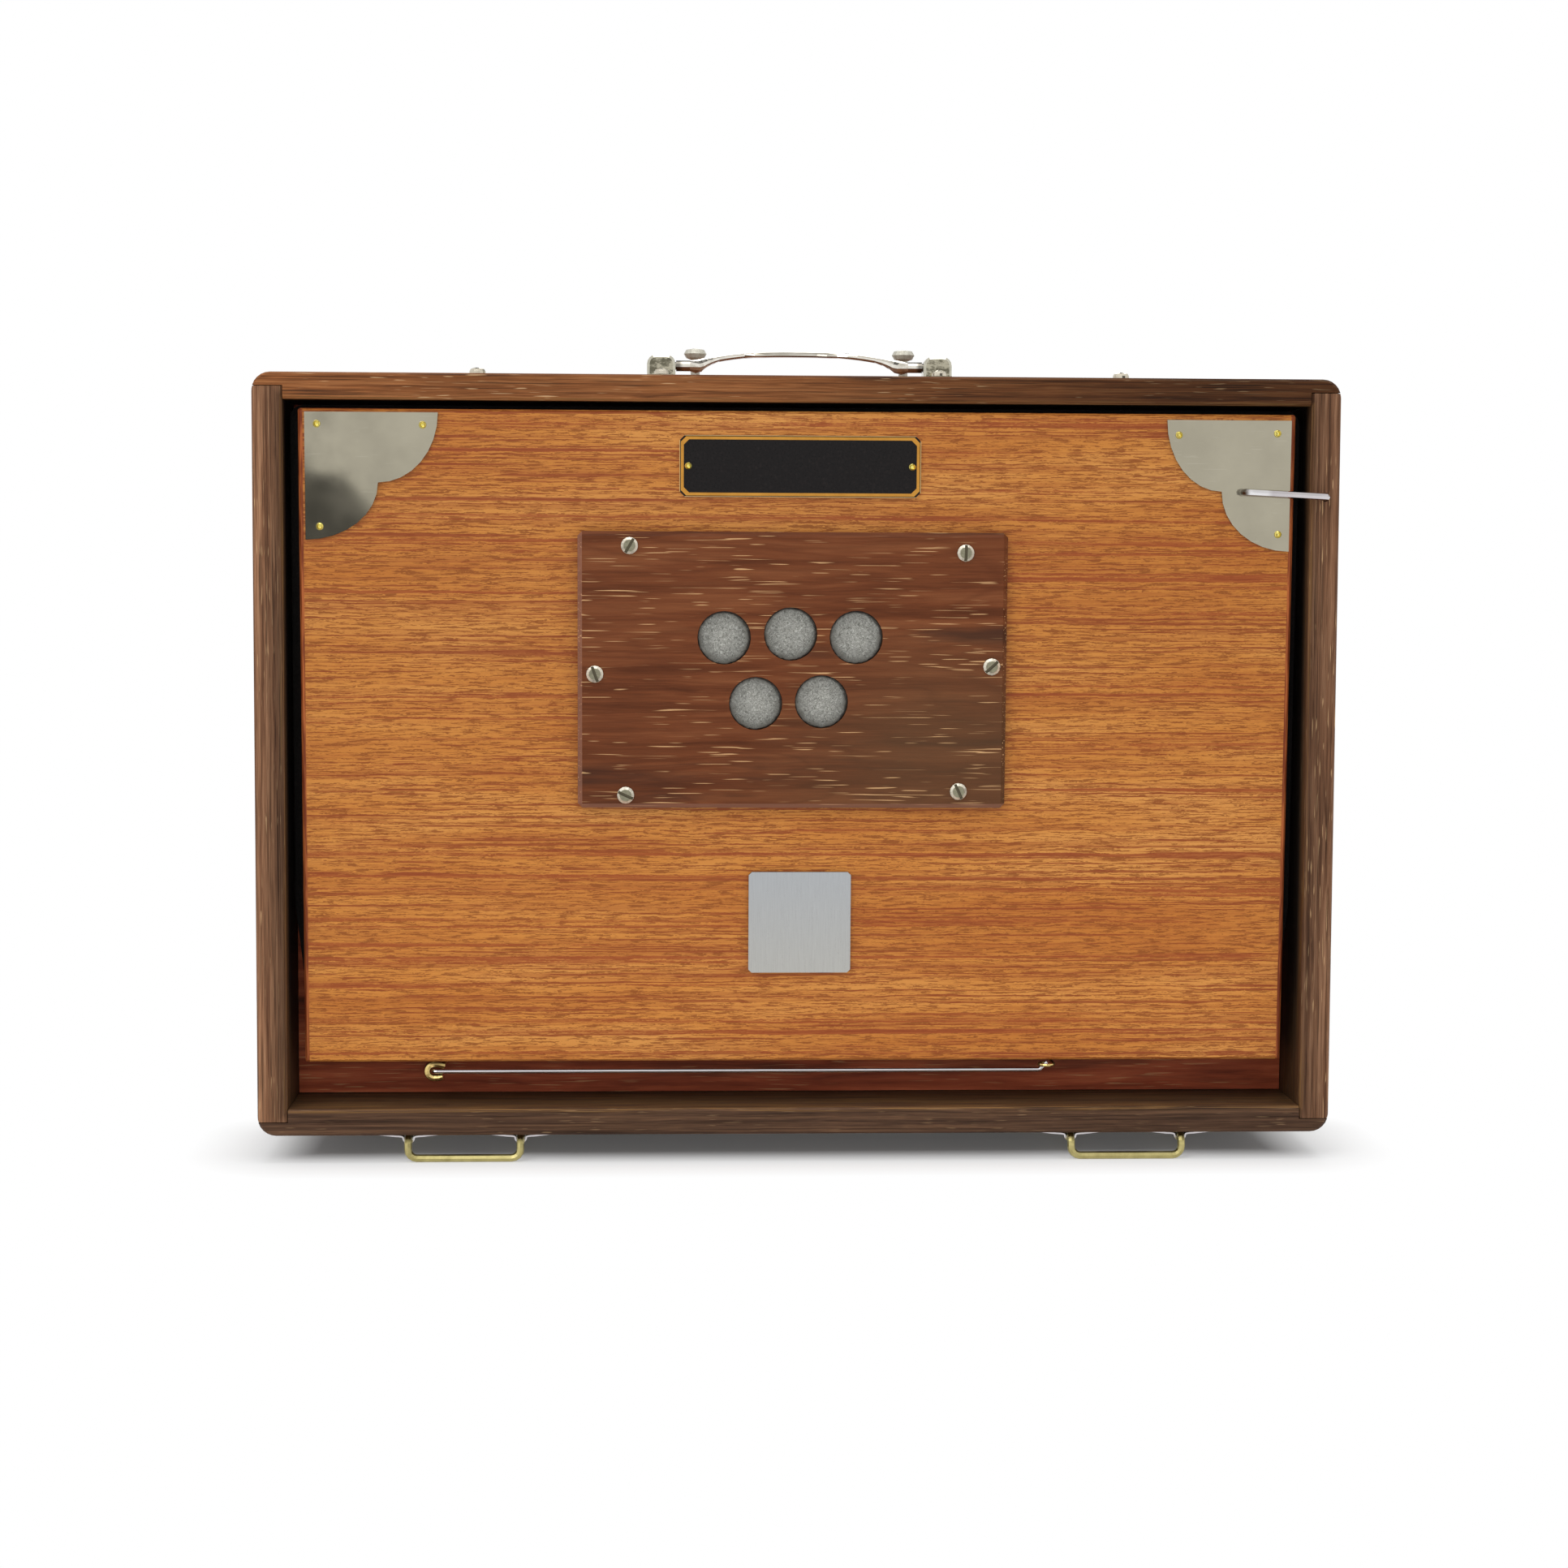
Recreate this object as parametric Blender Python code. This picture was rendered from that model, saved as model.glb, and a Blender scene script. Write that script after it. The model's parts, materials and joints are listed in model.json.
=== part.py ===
"""Large shruti box: a bellows-blown drone instrument in a wooden case, seen from its bellows side at -Y.

The frame is in metres, +Z up. The origin is under the middle of the box, on the floor where the feet stand.
Depths are measured from the front edges of the case boards towards +Y, and heights from the underside of
the case.
"""

import math

import bmesh
import bpy
from mathutils import Vector

# Case
CASE_WIDTH = 0.410
CASE_HEIGHT = 0.288
CASE_DEPTH = 0.085
BOARD_THICK = 0.010
SIDE_THICK = 0.0112
CORNER_LIP = 0.005
CORNER_RADIUS = 0.007
EDGE_EASE = 0.0008
SEAT_GAP = 0.0003

# Pump board and its hinge line
PUMP_SIDE_GAP = 0.0057
PUMP_TOP_GAP = 0.0033
PUMP_THICK = 0.008
PUMP_LEAN = math.radians(2.0)
PUMP_CORNER_RADIUS = 0.001
HINGE_DEPTH = 0.0125
HINGE_HEIGHT = 0.0224
PUMP_BOTTOM_ABOVE_HINGE = 0.0042
PUMP_FRONT_BEFORE_HINGE = 0.0015

# Bellows
CLOTH_THICK = 0.001
RIDGE_CLEARANCE = 0.0014
PLEAT_DEPTH = 0.0065
PLEAT_COUNT = 3
BELLOWS_KNEE_HEIGHT = 0.085
BELLOWS_FOOT_INSET = 0.0025
CENTRE_BOARD_DEPTH = 0.036
CENTRE_BOARD_THICK = 0.008
CENTRE_PORT_PITCH = 0.030
SPRING_WIRE = 0.0024
SPRING_SPREAD = 0.220
SPRING_TOP_HEIGHT = 0.200
SPRING_BEND_HEIGHT = 0.045
FLAP_THICK = 0.0012

# Inlet plate. It hangs below the name plate, and its holes are given from its own centre
INLET_WIDTH = 0.1624
INLET_HEIGHT = 0.1045
INLET_THICK = 0.0055
INLET_CHAMFER = 0.0017
INLET_CENTRE_X = -0.0026
INLET_BELOW_NAME_PLATE = 0.0130
INLET_HOLE_RADIUS = 0.0101
INLET_HOLES = [(-0.0260, 0.0124), (-0.0009, 0.0139), (0.0239, 0.0127), (-0.0140, -0.0124), (0.0109, -0.0117)]
AIR_HOLE_RADIUS = 0.008
FELT_THICK = 0.0015
FELT_MARGIN = 0.003
FELT_BELOW_FACE = 0.0006

# Inlet screws: the side, the inset from that edge, the row, the inset or offset in it, and the slot's turn
INLET_SCREWS = [(-1, 0.0195, 1, 0.0053, 60), (1, 0.0162, 1, 0.0075, 88), (-1, 0.0065, 0, -0.0014, 110),
                (1, 0.0058, 0, 0.0018, 42), (-1, 0.0181, -1, 0.0050, -25), (1, 0.0179, -1, 0.0065, 115)]
SCREW_HEAD_RADIUS = 0.0032
SCREW_HEAD_HEIGHT = 0.0016
SCREW_FLAT_RADIUS = 0.0022
SCREW_RIM_HEIGHT = 0.0006
SCREW_SHANK_RADIUS = 0.0015
SCREW_SLOT_WIDTH = 0.0011
SCREW_SLOT_DEPTH = 0.0009
SCREW_RUN = 0.0003

# Plates on the pump board
CORNER_PLATE_THICK = 0.0008
LEFT_PLATE_SIZE = (0.0497, 0.0477)
LEFT_PLATE_CUSP = (0.0272, 0.0262)
LEFT_PLATE_INSET = (0.0025, 0.0013)
RIGHT_PLATE_SIZE = (0.0475, 0.0495)
RIGHT_PLATE_CUSP = (0.0262, 0.0269)
RIGHT_PLATE_INSET = (0.0017, 0.0022)
NAME_PLATE_SIZE = (0.0911, 0.0231)
NAME_PLATE_BELOW_TOP = 0.0206
NAME_PLATE_THICK = 0.0010
NAME_PLATE_CLIP = 0.002
BADGE_SIZE = (0.0391, 0.0389)
BADGE_CENTRE_X = 0.0008
BADGE_BELOW_INLET = 0.0251
BADGE_THICK = 0.0012
BADGE_CLIP = 0.0012

# Catch
CATCH_ROD_RADIUS = 0.0014
CATCH_STANDOFF = 0.0046
CATCH_BEND_RADIUS = 0.003
CATCH_INSET = 0.0055
CATCH_BELOW_TOP = 0.0444
CATCH_LENGTH = 0.0315
CATCH_RISE = 0.0016
CATCH_LEG_DEPTH = 0.012
CATCH_RUN = 0.0003

# Hinge rod and its eyes
HINGE_ROD_RADIUS = 0.00075
ROD_BEND_RADIUS = 0.0013
LEFT_EYE_WIRE_RADIUS = 0.0013
LEFT_EYE_RING_RADIUS = 0.0027
LEFT_EYE_STRETCH = 1.9
LEFT_EYE_OPEN_START = -50.0
LEFT_EYE_OPEN_END = -310.0
LEFT_EYE_INSET = 0.0657
LEFT_EYE_BEHIND = 0.003
LEFT_EYE_SEAT_ANGLE = math.radians(-50)
RIGHT_EYE_WIRE_RADIUS = 0.0006
RIGHT_EYE_RING_RADIUS = 0.0029
RIGHT_EYE_OPEN_START = 285.0
RIGHT_EYE_INSET = 0.1079
RIGHT_EYE_ABOVE_ROD = 0.0022
ROD_END = 0.0008

# Carrying handle. The bail's sections give the share of its half span, half the width, half the thickness
# and how far the middle of the section droops
HANDLE_CENTRE_X = 0.0014
HANDLE_HALF_SPAN = 0.0425
HANDLE_REACH = 0.030
HANDLE_TILT = math.radians(13.4)
HANDLE_CURVE_POWER = 2.8
HANDLE_ARCH_INSET = 0.0021
HANDLE_SECTIONS = [(0.0, 0.0036, 0.0013, 0.0), (0.30, 0.0035, 0.0013, 0.0), (0.48, 0.0016, 0.0011, 0.0),
                   (0.75, 0.0015, 0.0012, 0.0), (0.85, 0.0018, 0.0017, 0.0003),
                   (0.89, 0.0021, 0.0026, 0.0010), (1.0, 0.0023, 0.0026, 0.0008)]
HANDLE_PIN_RADIUS = 0.0015
HANDLE_KNUCKLE_RADIUS = 0.0021
HANDLE_PIVOT_HEIGHT = 0.0061
HANDLE_RUN = 0.0004
BRACKET_CENTRE_X = 0.0537
BRACKET_WIDTH = 0.0110
BRACKET_HEIGHT = 0.0098
BRACKET_DEPTH = 0.011
BRACKET_ROUND = 0.0035
BRACKET_EASE = 0.001
BRACKET_TONGUE = 0.010
BRACKET_TONGUE_THICK = 0.0016
BRACKET_SCREW_RADIUS = 0.0028
BRACKET_SCREW_HEIGHT = 0.0022
STOP_POST_RADIUS = 0.0018
STOP_HEAD_RADIUS = 0.0045
STOP_HEAD_THICK = 0.0046
STOP_HEIGHT = 0.0141
LEFT_STOP_X = 0.0402
RIGHT_STOP_X = 0.0422
STOP_BEHIND_PIVOT = 0.0185
LEFT_TOP_SCREW_INSET = 0.0833
RIGHT_TOP_SCREW_INSET = 0.0823
TOP_SCREW_DEPTH = 0.012
TOP_SCREW_RADIUS = 0.0031
TOP_SCREW_HEIGHT = 0.0024

# Wire feet and straps
FOOT_INSET = 0.0779
FOOT_SPAN = 0.0427
FOOT_WIRE_RADIUS = 0.0015
FOOT_DROP = 0.0107
FOOT_FRONT_DEPTH = 0.0025
FOOT_REAR_DEPTH = 0.080
FOOT_BEND_RADIUS = 0.0034
STRAP_WING = 0.0114
STRAP_FILLET = 0.0030
STRAP_SLOPE = 0.0007
STRAP_THICK = 0.0006
STRAP_LENGTH = 0.008
STRAP_DEPTH = 0.0055
STRAP_RUN = 0.00035

# Key side
KEY_COUNT = 13
KEY_PITCH = 0.027
KEY_PANEL_DEPTH = 0.064
KEY_PANEL_THICK = 0.007
KEY_PIVOT_HEIGHT = 0.163
KEY_HOLE_BELOW_PIVOT = 0.011
KEY_HOLE_RADIUS = 0.004
KEY_WIDTH = 0.011
KEY_LENGTH = 0.0175
KEY_THICK = 0.0024
KEY_PIN_RADIUS = 0.0015
KEY_PIN_DEPTH = 0.005
KEY_HEAD_RADIUS = 0.003
KEY_HEAD_HEIGHT = 0.0016
KEY_KNOB_RADIUS = 0.0022
KEY_KNOB_HEIGHT = 0.004
KEY_KNOB_FROM_END = 0.0035
KEY_RUN = 0.0003
REED_PLATE_THICK = 0.002
REED_PLATE_HEIGHT = 0.040
REED_LENGTH = 0.026
REED_WIDTH = 0.003
REED_SLIT = 0.0005

# The catch stands furthest forward, and the rear edges of the case furthest back
CATCH_REACH = CATCH_STANDOFF + CATCH_ROD_RADIUS
CASE_FRONT = (CATCH_REACH - CASE_DEPTH) / 2
CASE_MIDDLE = CASE_FRONT + CASE_DEPTH / 2
UNDERSIDE = FOOT_DROP
CASE_TOP = UNDERSIDE + CASE_HEIGHT
INNER_HALF_WIDTH = CASE_WIDTH / 2 - SIDE_THICK
PUMP_HALF_WIDTH = INNER_HALF_WIDTH - PUMP_SIDE_GAP
PUMP_TOP_LEVEL = CASE_HEIGHT - BOARD_THICK - PUMP_TOP_GAP
PUMP_HEIGHT = (PUMP_TOP_LEVEL - HINGE_HEIGHT) / math.cos(PUMP_LEAN) - PUMP_BOTTOM_ABOVE_HINGE
PUMP_PIVOT = Vector((0.0, CASE_FRONT + HINGE_DEPTH, UNDERSIDE + HINGE_HEIGHT))

# Levels of the pieces' centres on the pump board, above its bottom edge
NAME_PLATE_LEVEL = PUMP_HEIGHT - NAME_PLATE_BELOW_TOP
INLET_LEVEL = NAME_PLATE_LEVEL - NAME_PLATE_SIZE[1] / 2 - INLET_BELOW_NAME_PLATE - INLET_HEIGHT / 2
BADGE_LEVEL = INLET_LEVEL - INLET_HEIGHT / 2 - BADGE_BELOW_INLET - BADGE_SIZE[1] / 2


def depth(distance):
    """Y of a plane that lies this far behind the front edges of the case."""
    return CASE_FRONT + distance


def height(distance):
    """Z of a level that lies this far above the underside of the case."""
    return UNDERSIDE + distance


def clear_scene():
    for item in list(bpy.data.objects):
        bpy.data.objects.remove(item, do_unlink=True)


def material(name, colour, roughness, metallic=0.0):
    made = bpy.data.materials.new(name)
    made.use_nodes = True
    shader = made.node_tree.nodes["Principled BSDF"]
    shader.inputs["Base Color"].default_value = (*colour, 1.0)
    shader.inputs["Roughness"].default_value = roughness
    shader.inputs["Metallic"].default_value = metallic
    return made


def add_object(name, data, finish=None, parent=None, place=(0.0, 0.0, 0.0)):
    made = bpy.data.objects.new(name, data)
    bpy.context.collection.objects.link(made)
    made.location = place
    made.parent = parent
    if finish is not None:
        data.materials.append(finish)
    return made


def add_mesh(name, bm, finish=None, parent=None, place=(0.0, 0.0, 0.0), smooth=False):
    bmesh.ops.recalc_face_normals(bm, faces=bm.faces)
    mesh = bpy.data.meshes.new(name)
    bm.to_mesh(mesh)
    bm.free()
    if smooth:
        mesh.shade_smooth()
        mesh.set_sharp_from_angle(angle=math.radians(35))
    return add_object(name, mesh, finish, parent, place)


def axis_empty(name, place, tilt=0.0):
    made = add_object(name, None, place=place)
    made.rotation_euler = (tilt, 0.0, 0.0)
    return made


def prism(bm, outline, start, end, axis="Y"):
    """Adds a closed outline, given in the plane across an axis, drawn out from start to end along it."""
    rings = []
    for level in (start, end):
        ring = []
        for a, b in outline:
            point = {"X": (level, a, b), "Y": (a, level, b), "Z": (a, b, level)}[axis]
            ring.append(bm.verts.new(point))
        rings.append(ring)
    count = len(outline)
    bm.faces.new(rings[0])
    bm.faces.new(list(reversed(rings[1])))
    for i in range(count):
        j = (i + 1) % count
        bm.faces.new((rings[0][i], rings[1][i], rings[1][j], rings[0][j]))
    return rings


def mark_rims(bm, rings, seams):
    """Marks the edges of both end outlines for easing, but not those that meet another board."""
    weight = bm.edges.layers.float.new("bevel_weight_edge")
    for ring in rings:
        for i, vert in enumerate(ring):
            if i not in seams:
                bm.edges.get((vert, ring[(i + 1) % len(ring)]))[weight] = 1.0


def turned(bm, profile, centre, axis="Y", sides=16):
    """Adds a turned piece. The profile holds (radius, level) pairs, and its ends lie on the axis."""
    rings = []
    for radius, level in profile:
        ring = []
        for i in range(sides if radius > 0 else 1):
            angle = 2 * math.pi * i / sides
            a = radius * math.cos(angle)
            b = radius * math.sin(angle)
            offset = {"X": (level, a, b), "Y": (a, level, b), "Z": (a, b, level)}[axis]
            ring.append(bm.verts.new(Vector(centre) + Vector(offset)))
        rings.append(ring)
    for low, high in zip(rings, rings[1:]):
        for i in range(sides):
            j = (i + 1) % sides
            corners = [low[i % len(low)], low[j % len(low)], high[j % len(high)], high[i % len(high)]]
            bm.faces.new(list(dict.fromkeys(corners)))


def cylinder(bm, centre, radius, start, end, axis="Y", sides=16):
    turned(bm, [(0.0, start), (radius, start), (radius, end), (0.0, end)], centre, axis, sides)


def quarter_ellipse(centre_a, centre_b, reach_a, reach_b, steps=8):
    """Points from the end of the first reach round to the end of the second."""
    points = []
    for i in range(steps + 1):
        angle = math.pi / 2 * i / steps
        points.append((centre_a + reach_a * math.cos(angle), centre_b + reach_b * math.sin(angle)))
    return points


def band(path, thick):
    """The outline of a strip of even thickness that follows a path in its plane."""
    path = [Vector(p) for p in path]
    left = []
    right = []
    for i, point in enumerate(path):
        along = (path[min(i + 1, len(path) - 1)] - path[max(i - 1, 0)]).normalized()
        across = Vector((-along.y, along.x)) * thick / 2
        left.append(tuple(point + across))
        right.append(tuple(point - across))
    return left + right[::-1]


def rectangle(low_a, low_b, high_a, high_b):
    return [(low_a, low_b), (high_a, low_b), (high_a, high_b), (low_a, high_b)]


def arc(centre_a, centre_b, radius, start, end, steps):
    """Points on an arc, its angles in degrees."""
    points = []
    for i in range(steps + 1):
        angle = math.radians(start + (end - start) * i / steps)
        points.append((centre_a + radius * math.cos(angle), centre_b + radius * math.sin(angle)))
    return points


def rounded_rectangle(low_a, low_b, high_a, high_b, radius, steps=3):
    corners = [(high_a - radius, high_b - radius, 0), (low_a + radius, high_b - radius, 90),
               (low_a + radius, low_b + radius, 180), (high_a - radius, low_b + radius, 270)]
    points = []
    for a, b, start in corners:
        points += arc(a, b, radius, start, start + 90, steps)
    return points


def ease(item, width, marked=False):
    """Chamfers the marked edges, or every edge sharper than fifty degrees."""
    bevel = item.modifiers.new("ease", "BEVEL")
    bevel.width = width
    bevel.segments = 1
    bevel.limit_method = "WEIGHT" if marked else "ANGLE"
    bevel.angle_limit = math.radians(50)


def combine(item, bm, operation, name, parent=None):
    """Cuts the solids in bm out of the item, or joins them to it."""
    other = add_mesh(name, bm, parent=parent)
    other.hide_render = True
    other.display_type = "WIRE"
    step = item.modifiers.new(name, "BOOLEAN")
    step.operation = operation
    step.solver = "EXACT"
    step.object = other


def rod(name, points, radius, finish, parent=None, cyclic=False):
    curve = bpy.data.curves.new(name, "CURVE")
    curve.dimensions = "3D"
    curve.bevel_depth = radius
    curve.bevel_resolution = 2
    curve.use_fill_caps = True
    spline = curve.splines.new("POLY")
    spline.points.add(len(points) - 1)
    for target, point in zip(spline.points, points):
        target.co = (*point, 1.0)
    spline.use_cyclic_u = cyclic
    return add_object(name, curve, finish, parent)


def bent(points, radius, steps=4, cyclic=False):
    """Rounds the corners of a chain of points."""
    points = [Vector(p) for p in points]
    rounded = []
    last = len(points) - 1
    for i, corner in enumerate(points):
        if not cyclic and i in (0, last):
            rounded.append(corner)
            continue
        before = (points[i - 1] - corner).normalized()
        after = (points[(i + 1) % len(points)] - corner).normalized()
        half = before.angle(after) / 2
        reach = radius / math.tan(half)
        centre = corner + (before + after).normalized() * (radius / math.sin(half))
        start = corner + before * reach - centre
        end = corner + after * reach - centre
        sweep = start.angle(end)
        for step in range(steps + 1):
            done = sweep * step / steps
            rounded.append(centre + (start * math.sin(sweep - done) + end * math.sin(done)) / math.sin(sweep))
    return rounded


def make_case(dark_wood):
    """The top and bottom boards lie between the sides, with lips that run out over their ends."""
    half = CASE_WIDTH / 2
    corner_sine = (CORNER_RADIUS - CORNER_LIP) / CORNER_RADIUS
    seam_angle = math.degrees(math.asin(corner_sine))
    centre_x = half - CORNER_RADIUS
    centre_z = CASE_HEIGHT - CORNER_RADIUS
    seam = CASE_HEIGHT - CORNER_LIP

    inner_end = INNER_HALF_WIDTH - SEAT_GAP
    right_end = [(inner_end, CASE_HEIGHT - BOARD_THICK), (inner_end, seam)]
    right_end += arc(centre_x, centre_z, CORNER_RADIUS, seam_angle, 90, 5)
    left_end = [(-x, z) for x, z in reversed(right_end)]
    count = len(right_end) * 2
    for name, flip in (("case_top", False), ("case_bottom", True)):
        outline = [(x, height(CASE_HEIGHT - z if flip else z)) for x, z in right_end + left_end]
        bm = bmesh.new()
        rings = prism(bm, outline, depth(0), depth(CASE_DEPTH))
        mark_rims(bm, rings, seams=(0, 1, count - 3, count - 2))
        ease(add_mesh(name, bm, dark_wood), EDGE_EASE, marked=True)

    upper = [(x, z - SEAT_GAP) for x, z in arc(centre_x, centre_z, CORNER_RADIUS, 0, seam_angle, 2)]
    lower = [(x, CASE_HEIGHT - z) for x, z in reversed(upper)]
    inner = [(INNER_HALF_WIDTH, seam - SEAT_GAP), (INNER_HALF_WIDTH, CORNER_LIP + SEAT_GAP)]
    outline = lower + upper + inner
    boards = []
    for name, side in (("case_left", -1), ("case_right", 1)):
        bm = bmesh.new()
        rings = prism(bm, [(side * x, height(z)) for x, z in outline], depth(0), depth(CASE_DEPTH))
        mark_rims(bm, rings, seams=(len(outline) - 3, len(outline) - 1))
        boards.append(add_mesh(name, bm, dark_wood))
        ease(boards[-1], EDGE_EASE, marked=True)
    return boards[1]


def make_centre_board(red_wood, leather):
    inner_top = height(CASE_HEIGHT - BOARD_THICK) - SEAT_GAP
    inner_floor = height(BOARD_THICK) + SEAT_GAP
    side = INNER_HALF_WIDTH - SEAT_GAP
    front = depth(CENTRE_BOARD_DEPTH)
    back = front + CENTRE_BOARD_THICK
    bm = bmesh.new()
    prism(bm, rectangle(-side, inner_floor, side, inner_top), front, back)
    board = add_mesh("centre_board", bm, red_wood)

    middle = (inner_floor + inner_top) / 2
    ports = bmesh.new()
    for i in range(-1, 2):
        cylinder(ports, (i * CENTRE_PORT_PITCH, 0, middle), AIR_HOLE_RADIUS,
                 front - CENTRE_BOARD_THICK, back + CENTRE_BOARD_THICK)
    combine(board, ports, "DIFFERENCE", "centre_ports")

    flap = bmesh.new()
    cover = CENTRE_PORT_PITCH + AIR_HOLE_RADIUS * 2
    prism(flap, rectangle(-cover, middle - cover / 2, cover, middle + cover / 2),
          back + SEAT_GAP, back + SEAT_GAP + FLAP_THICK)
    add_mesh("reservoir_flap", flap, leather)


def pump_level(level):
    """The height from the hinge line of a level given from the pump board's bottom edge."""
    return PUMP_BOTTOM_ABOVE_HINGE + level


def inlet_holes():
    """Centres of the round holes on the pump board's face."""
    return [(INLET_CENTRE_X + x, pump_level(INLET_LEVEL + z)) for x, z in INLET_HOLES]


def inlet_screws():
    """Centres of the screws, each set in from an edge of the inlet plate, with their slots' turns."""
    found = []
    for side, inset, row, offset, turn in INLET_SCREWS:
        x = INLET_CENTRE_X + side * (INLET_WIDTH / 2 - inset)
        rise = row * (INLET_HEIGHT / 2 - offset) if row else offset
        found.append((x, pump_level(INLET_LEVEL + rise), math.radians(turn)))
    return found


def make_pump_board(pump, laminate, leather):
    front = -PUMP_FRONT_BEFORE_HINGE
    back = front + PUMP_THICK
    top = pump_level(PUMP_HEIGHT)
    bm = bmesh.new()
    outline = rounded_rectangle(-PUMP_HALF_WIDTH, pump_level(0), PUMP_HALF_WIDTH, top, PUMP_CORNER_RADIUS)
    prism(bm, outline, front, back)
    board = add_mesh("pump_board", bm, laminate, pump)
    ease(board, EDGE_EASE)

    ports = bmesh.new()
    for x, z in inlet_holes():
        cylinder(ports, (x, 0, z), AIR_HOLE_RADIUS, front - PUMP_THICK, back + PUMP_THICK)
    combine(board, ports, "DIFFERENCE", "pump_ports", pump)

    x = INLET_CENTRE_X
    z = pump_level(INLET_LEVEL)
    reach_x = INLET_WIDTH / 3
    reach_z = INLET_HEIGHT / 3
    flap = bmesh.new()
    prism(flap, rectangle(x - reach_x, z - reach_z, x + reach_x, z + reach_z),
          back + SEAT_GAP, back + SEAT_GAP + FLAP_THICK)
    add_mesh("intake_flap", flap, leather, pump)
    return front, back, top


def make_inlet_plate(pump, face, red_wood, felt):
    centre_x = INLET_CENTRE_X
    centre_z = pump_level(INLET_LEVEL)
    reach_x = INLET_WIDTH / 2
    reach_z = INLET_HEIGHT / 2
    seat = face - SEAT_GAP
    front = seat - INLET_THICK
    bm = bmesh.new()
    outline = rectangle(centre_x - reach_x, centre_z - reach_z, centre_x + reach_x, centre_z + reach_z)
    prism(bm, outline, front, seat)
    plate = add_mesh("inlet_plate", bm, red_wood, pump)
    ease(plate, INLET_CHAMFER)

    centres = inlet_holes()
    xs = [x for x, z in centres]
    zs = [z for x, z in centres]
    reach = INLET_HOLE_RADIUS + FELT_MARGIN
    cuts = bmesh.new()
    pocket = rectangle(min(xs) - reach, min(zs) - reach, max(xs) + reach, max(zs) + reach)
    prism(cuts, pocket, seat - FELT_THICK - SEAT_GAP, seat + INLET_THICK)
    combine(plate, cuts, "DIFFERENCE", "felt_pocket", pump)
    holes = bmesh.new()
    before = front - INLET_THICK
    behind = seat + INLET_THICK
    for x, z in centres:
        cylinder(holes, (x, 0, z), INLET_HOLE_RADIUS, before, behind, sides=28)
    for x, z, turn in inlet_screws():
        cylinder(holes, (x, 0, z), SCREW_SHANK_RADIUS + SCREW_RUN, before, behind, sides=12)
    combine(plate, holes, "DIFFERENCE", "inlet_bores", pump)

    pad = bmesh.new()
    reach -= SEAT_GAP
    outline = rectangle(min(xs) - reach, min(zs) - reach, max(xs) + reach, max(zs) + reach)
    prism(pad, outline, seat - FELT_THICK, seat)
    pad_object = add_mesh("inlet_felt", pad, felt, pump, smooth=True)
    domes = bmesh.new()
    radius = INLET_HOLE_RADIUS - SEAT_GAP
    base = seat - FELT_THICK / 2
    crown = front + FELT_BELOW_FACE
    bulge = base - crown
    for x, z in centres:
        profile = [(0.0, crown), (radius * 0.6, crown + bulge * 0.04), (radius * 0.88, crown + bulge * 0.16),
                   (radius, crown + bulge * 0.4), (radius, base), (0.0, base)]
        turned(domes, profile, (x, 0, z))
    combine(pad_object, domes, "UNION", "felt_domes", pump)
    return front


def make_inlet_screws(pump, face, steel):
    seat = face - SEAT_GAP
    head = seat - SCREW_HEAD_HEIGHT
    tip = face + INLET_THICK / 2
    profile = [(0.0, head), (SCREW_FLAT_RADIUS, head), (SCREW_HEAD_RADIUS, seat - SCREW_RIM_HEIGHT),
               (SCREW_HEAD_RADIUS, seat), (SCREW_SHANK_RADIUS, seat), (SCREW_SHANK_RADIUS, tip), (0.0, tip)]
    for i, (x, z, turn) in enumerate(inlet_screws()):
        bm = bmesh.new()
        turned(bm, profile, (x, 0, z))
        screw = add_mesh(f"inlet_screw_{i + 1}", bm, steel, pump, smooth=True)
        slot = bmesh.new()
        along = Vector((math.cos(turn), math.sin(turn))) * SCREW_HEAD_RADIUS * 1.5
        across = Vector((-math.sin(turn), math.cos(turn))) * SCREW_SLOT_WIDTH / 2
        middle = Vector((x, z))
        corners = [middle + along + across, middle - along + across]
        corners += [middle - along - across, middle + along - across]
        prism(slot, [tuple(c) for c in corners], head - SCREW_HEAD_HEIGHT, head + SCREW_SLOT_DEPTH)
        combine(screw, slot, "DIFFERENCE", f"screw_slot_{i + 1}", pump)


def make_corner_plates(pump, face, top, steel):
    """Each plate is a corner of sheet with two round lobes that meet in a cusp."""
    sides = (("corner_plate_left", -1, LEFT_PLATE_SIZE, LEFT_PLATE_CUSP, LEFT_PLATE_INSET),
             ("corner_plate_right", 1, RIGHT_PLATE_SIZE, RIGHT_PLATE_CUSP, RIGHT_PLATE_INSET))
    for name, side, (wide, tall), (cusp_a, cusp_b), (inset_x, inset_z) in sides:
        corner_x = PUMP_HALF_WIDTH - inset_x
        corner_z = top - inset_z
        outline = [(0.0, 0.0)]
        outline += quarter_ellipse(cusp_a, 0.0, wide - cusp_a, cusp_b)
        outline += quarter_ellipse(0.0, cusp_b, cusp_a, tall - cusp_b)[1:]
        points = [(side * (corner_x - a), corner_z - b) for a, b in outline]
        bm = bmesh.new()
        prism(bm, points, face - SEAT_GAP - CORNER_PLATE_THICK, face - SEAT_GAP)
        add_mesh(name, bm, steel, pump)


def clipped_rectangle(centre_x, centre_z, wide, tall, clip):
    a = wide / 2
    b = tall / 2
    corners = [(a, -b + clip), (a, b - clip), (a - clip, b), (-a + clip, b),
               (-a, b - clip), (-a, -b + clip), (-a + clip, -b), (a - clip, -b)]
    return [(centre_x + x, centre_z + z) for x, z in corners]


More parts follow.
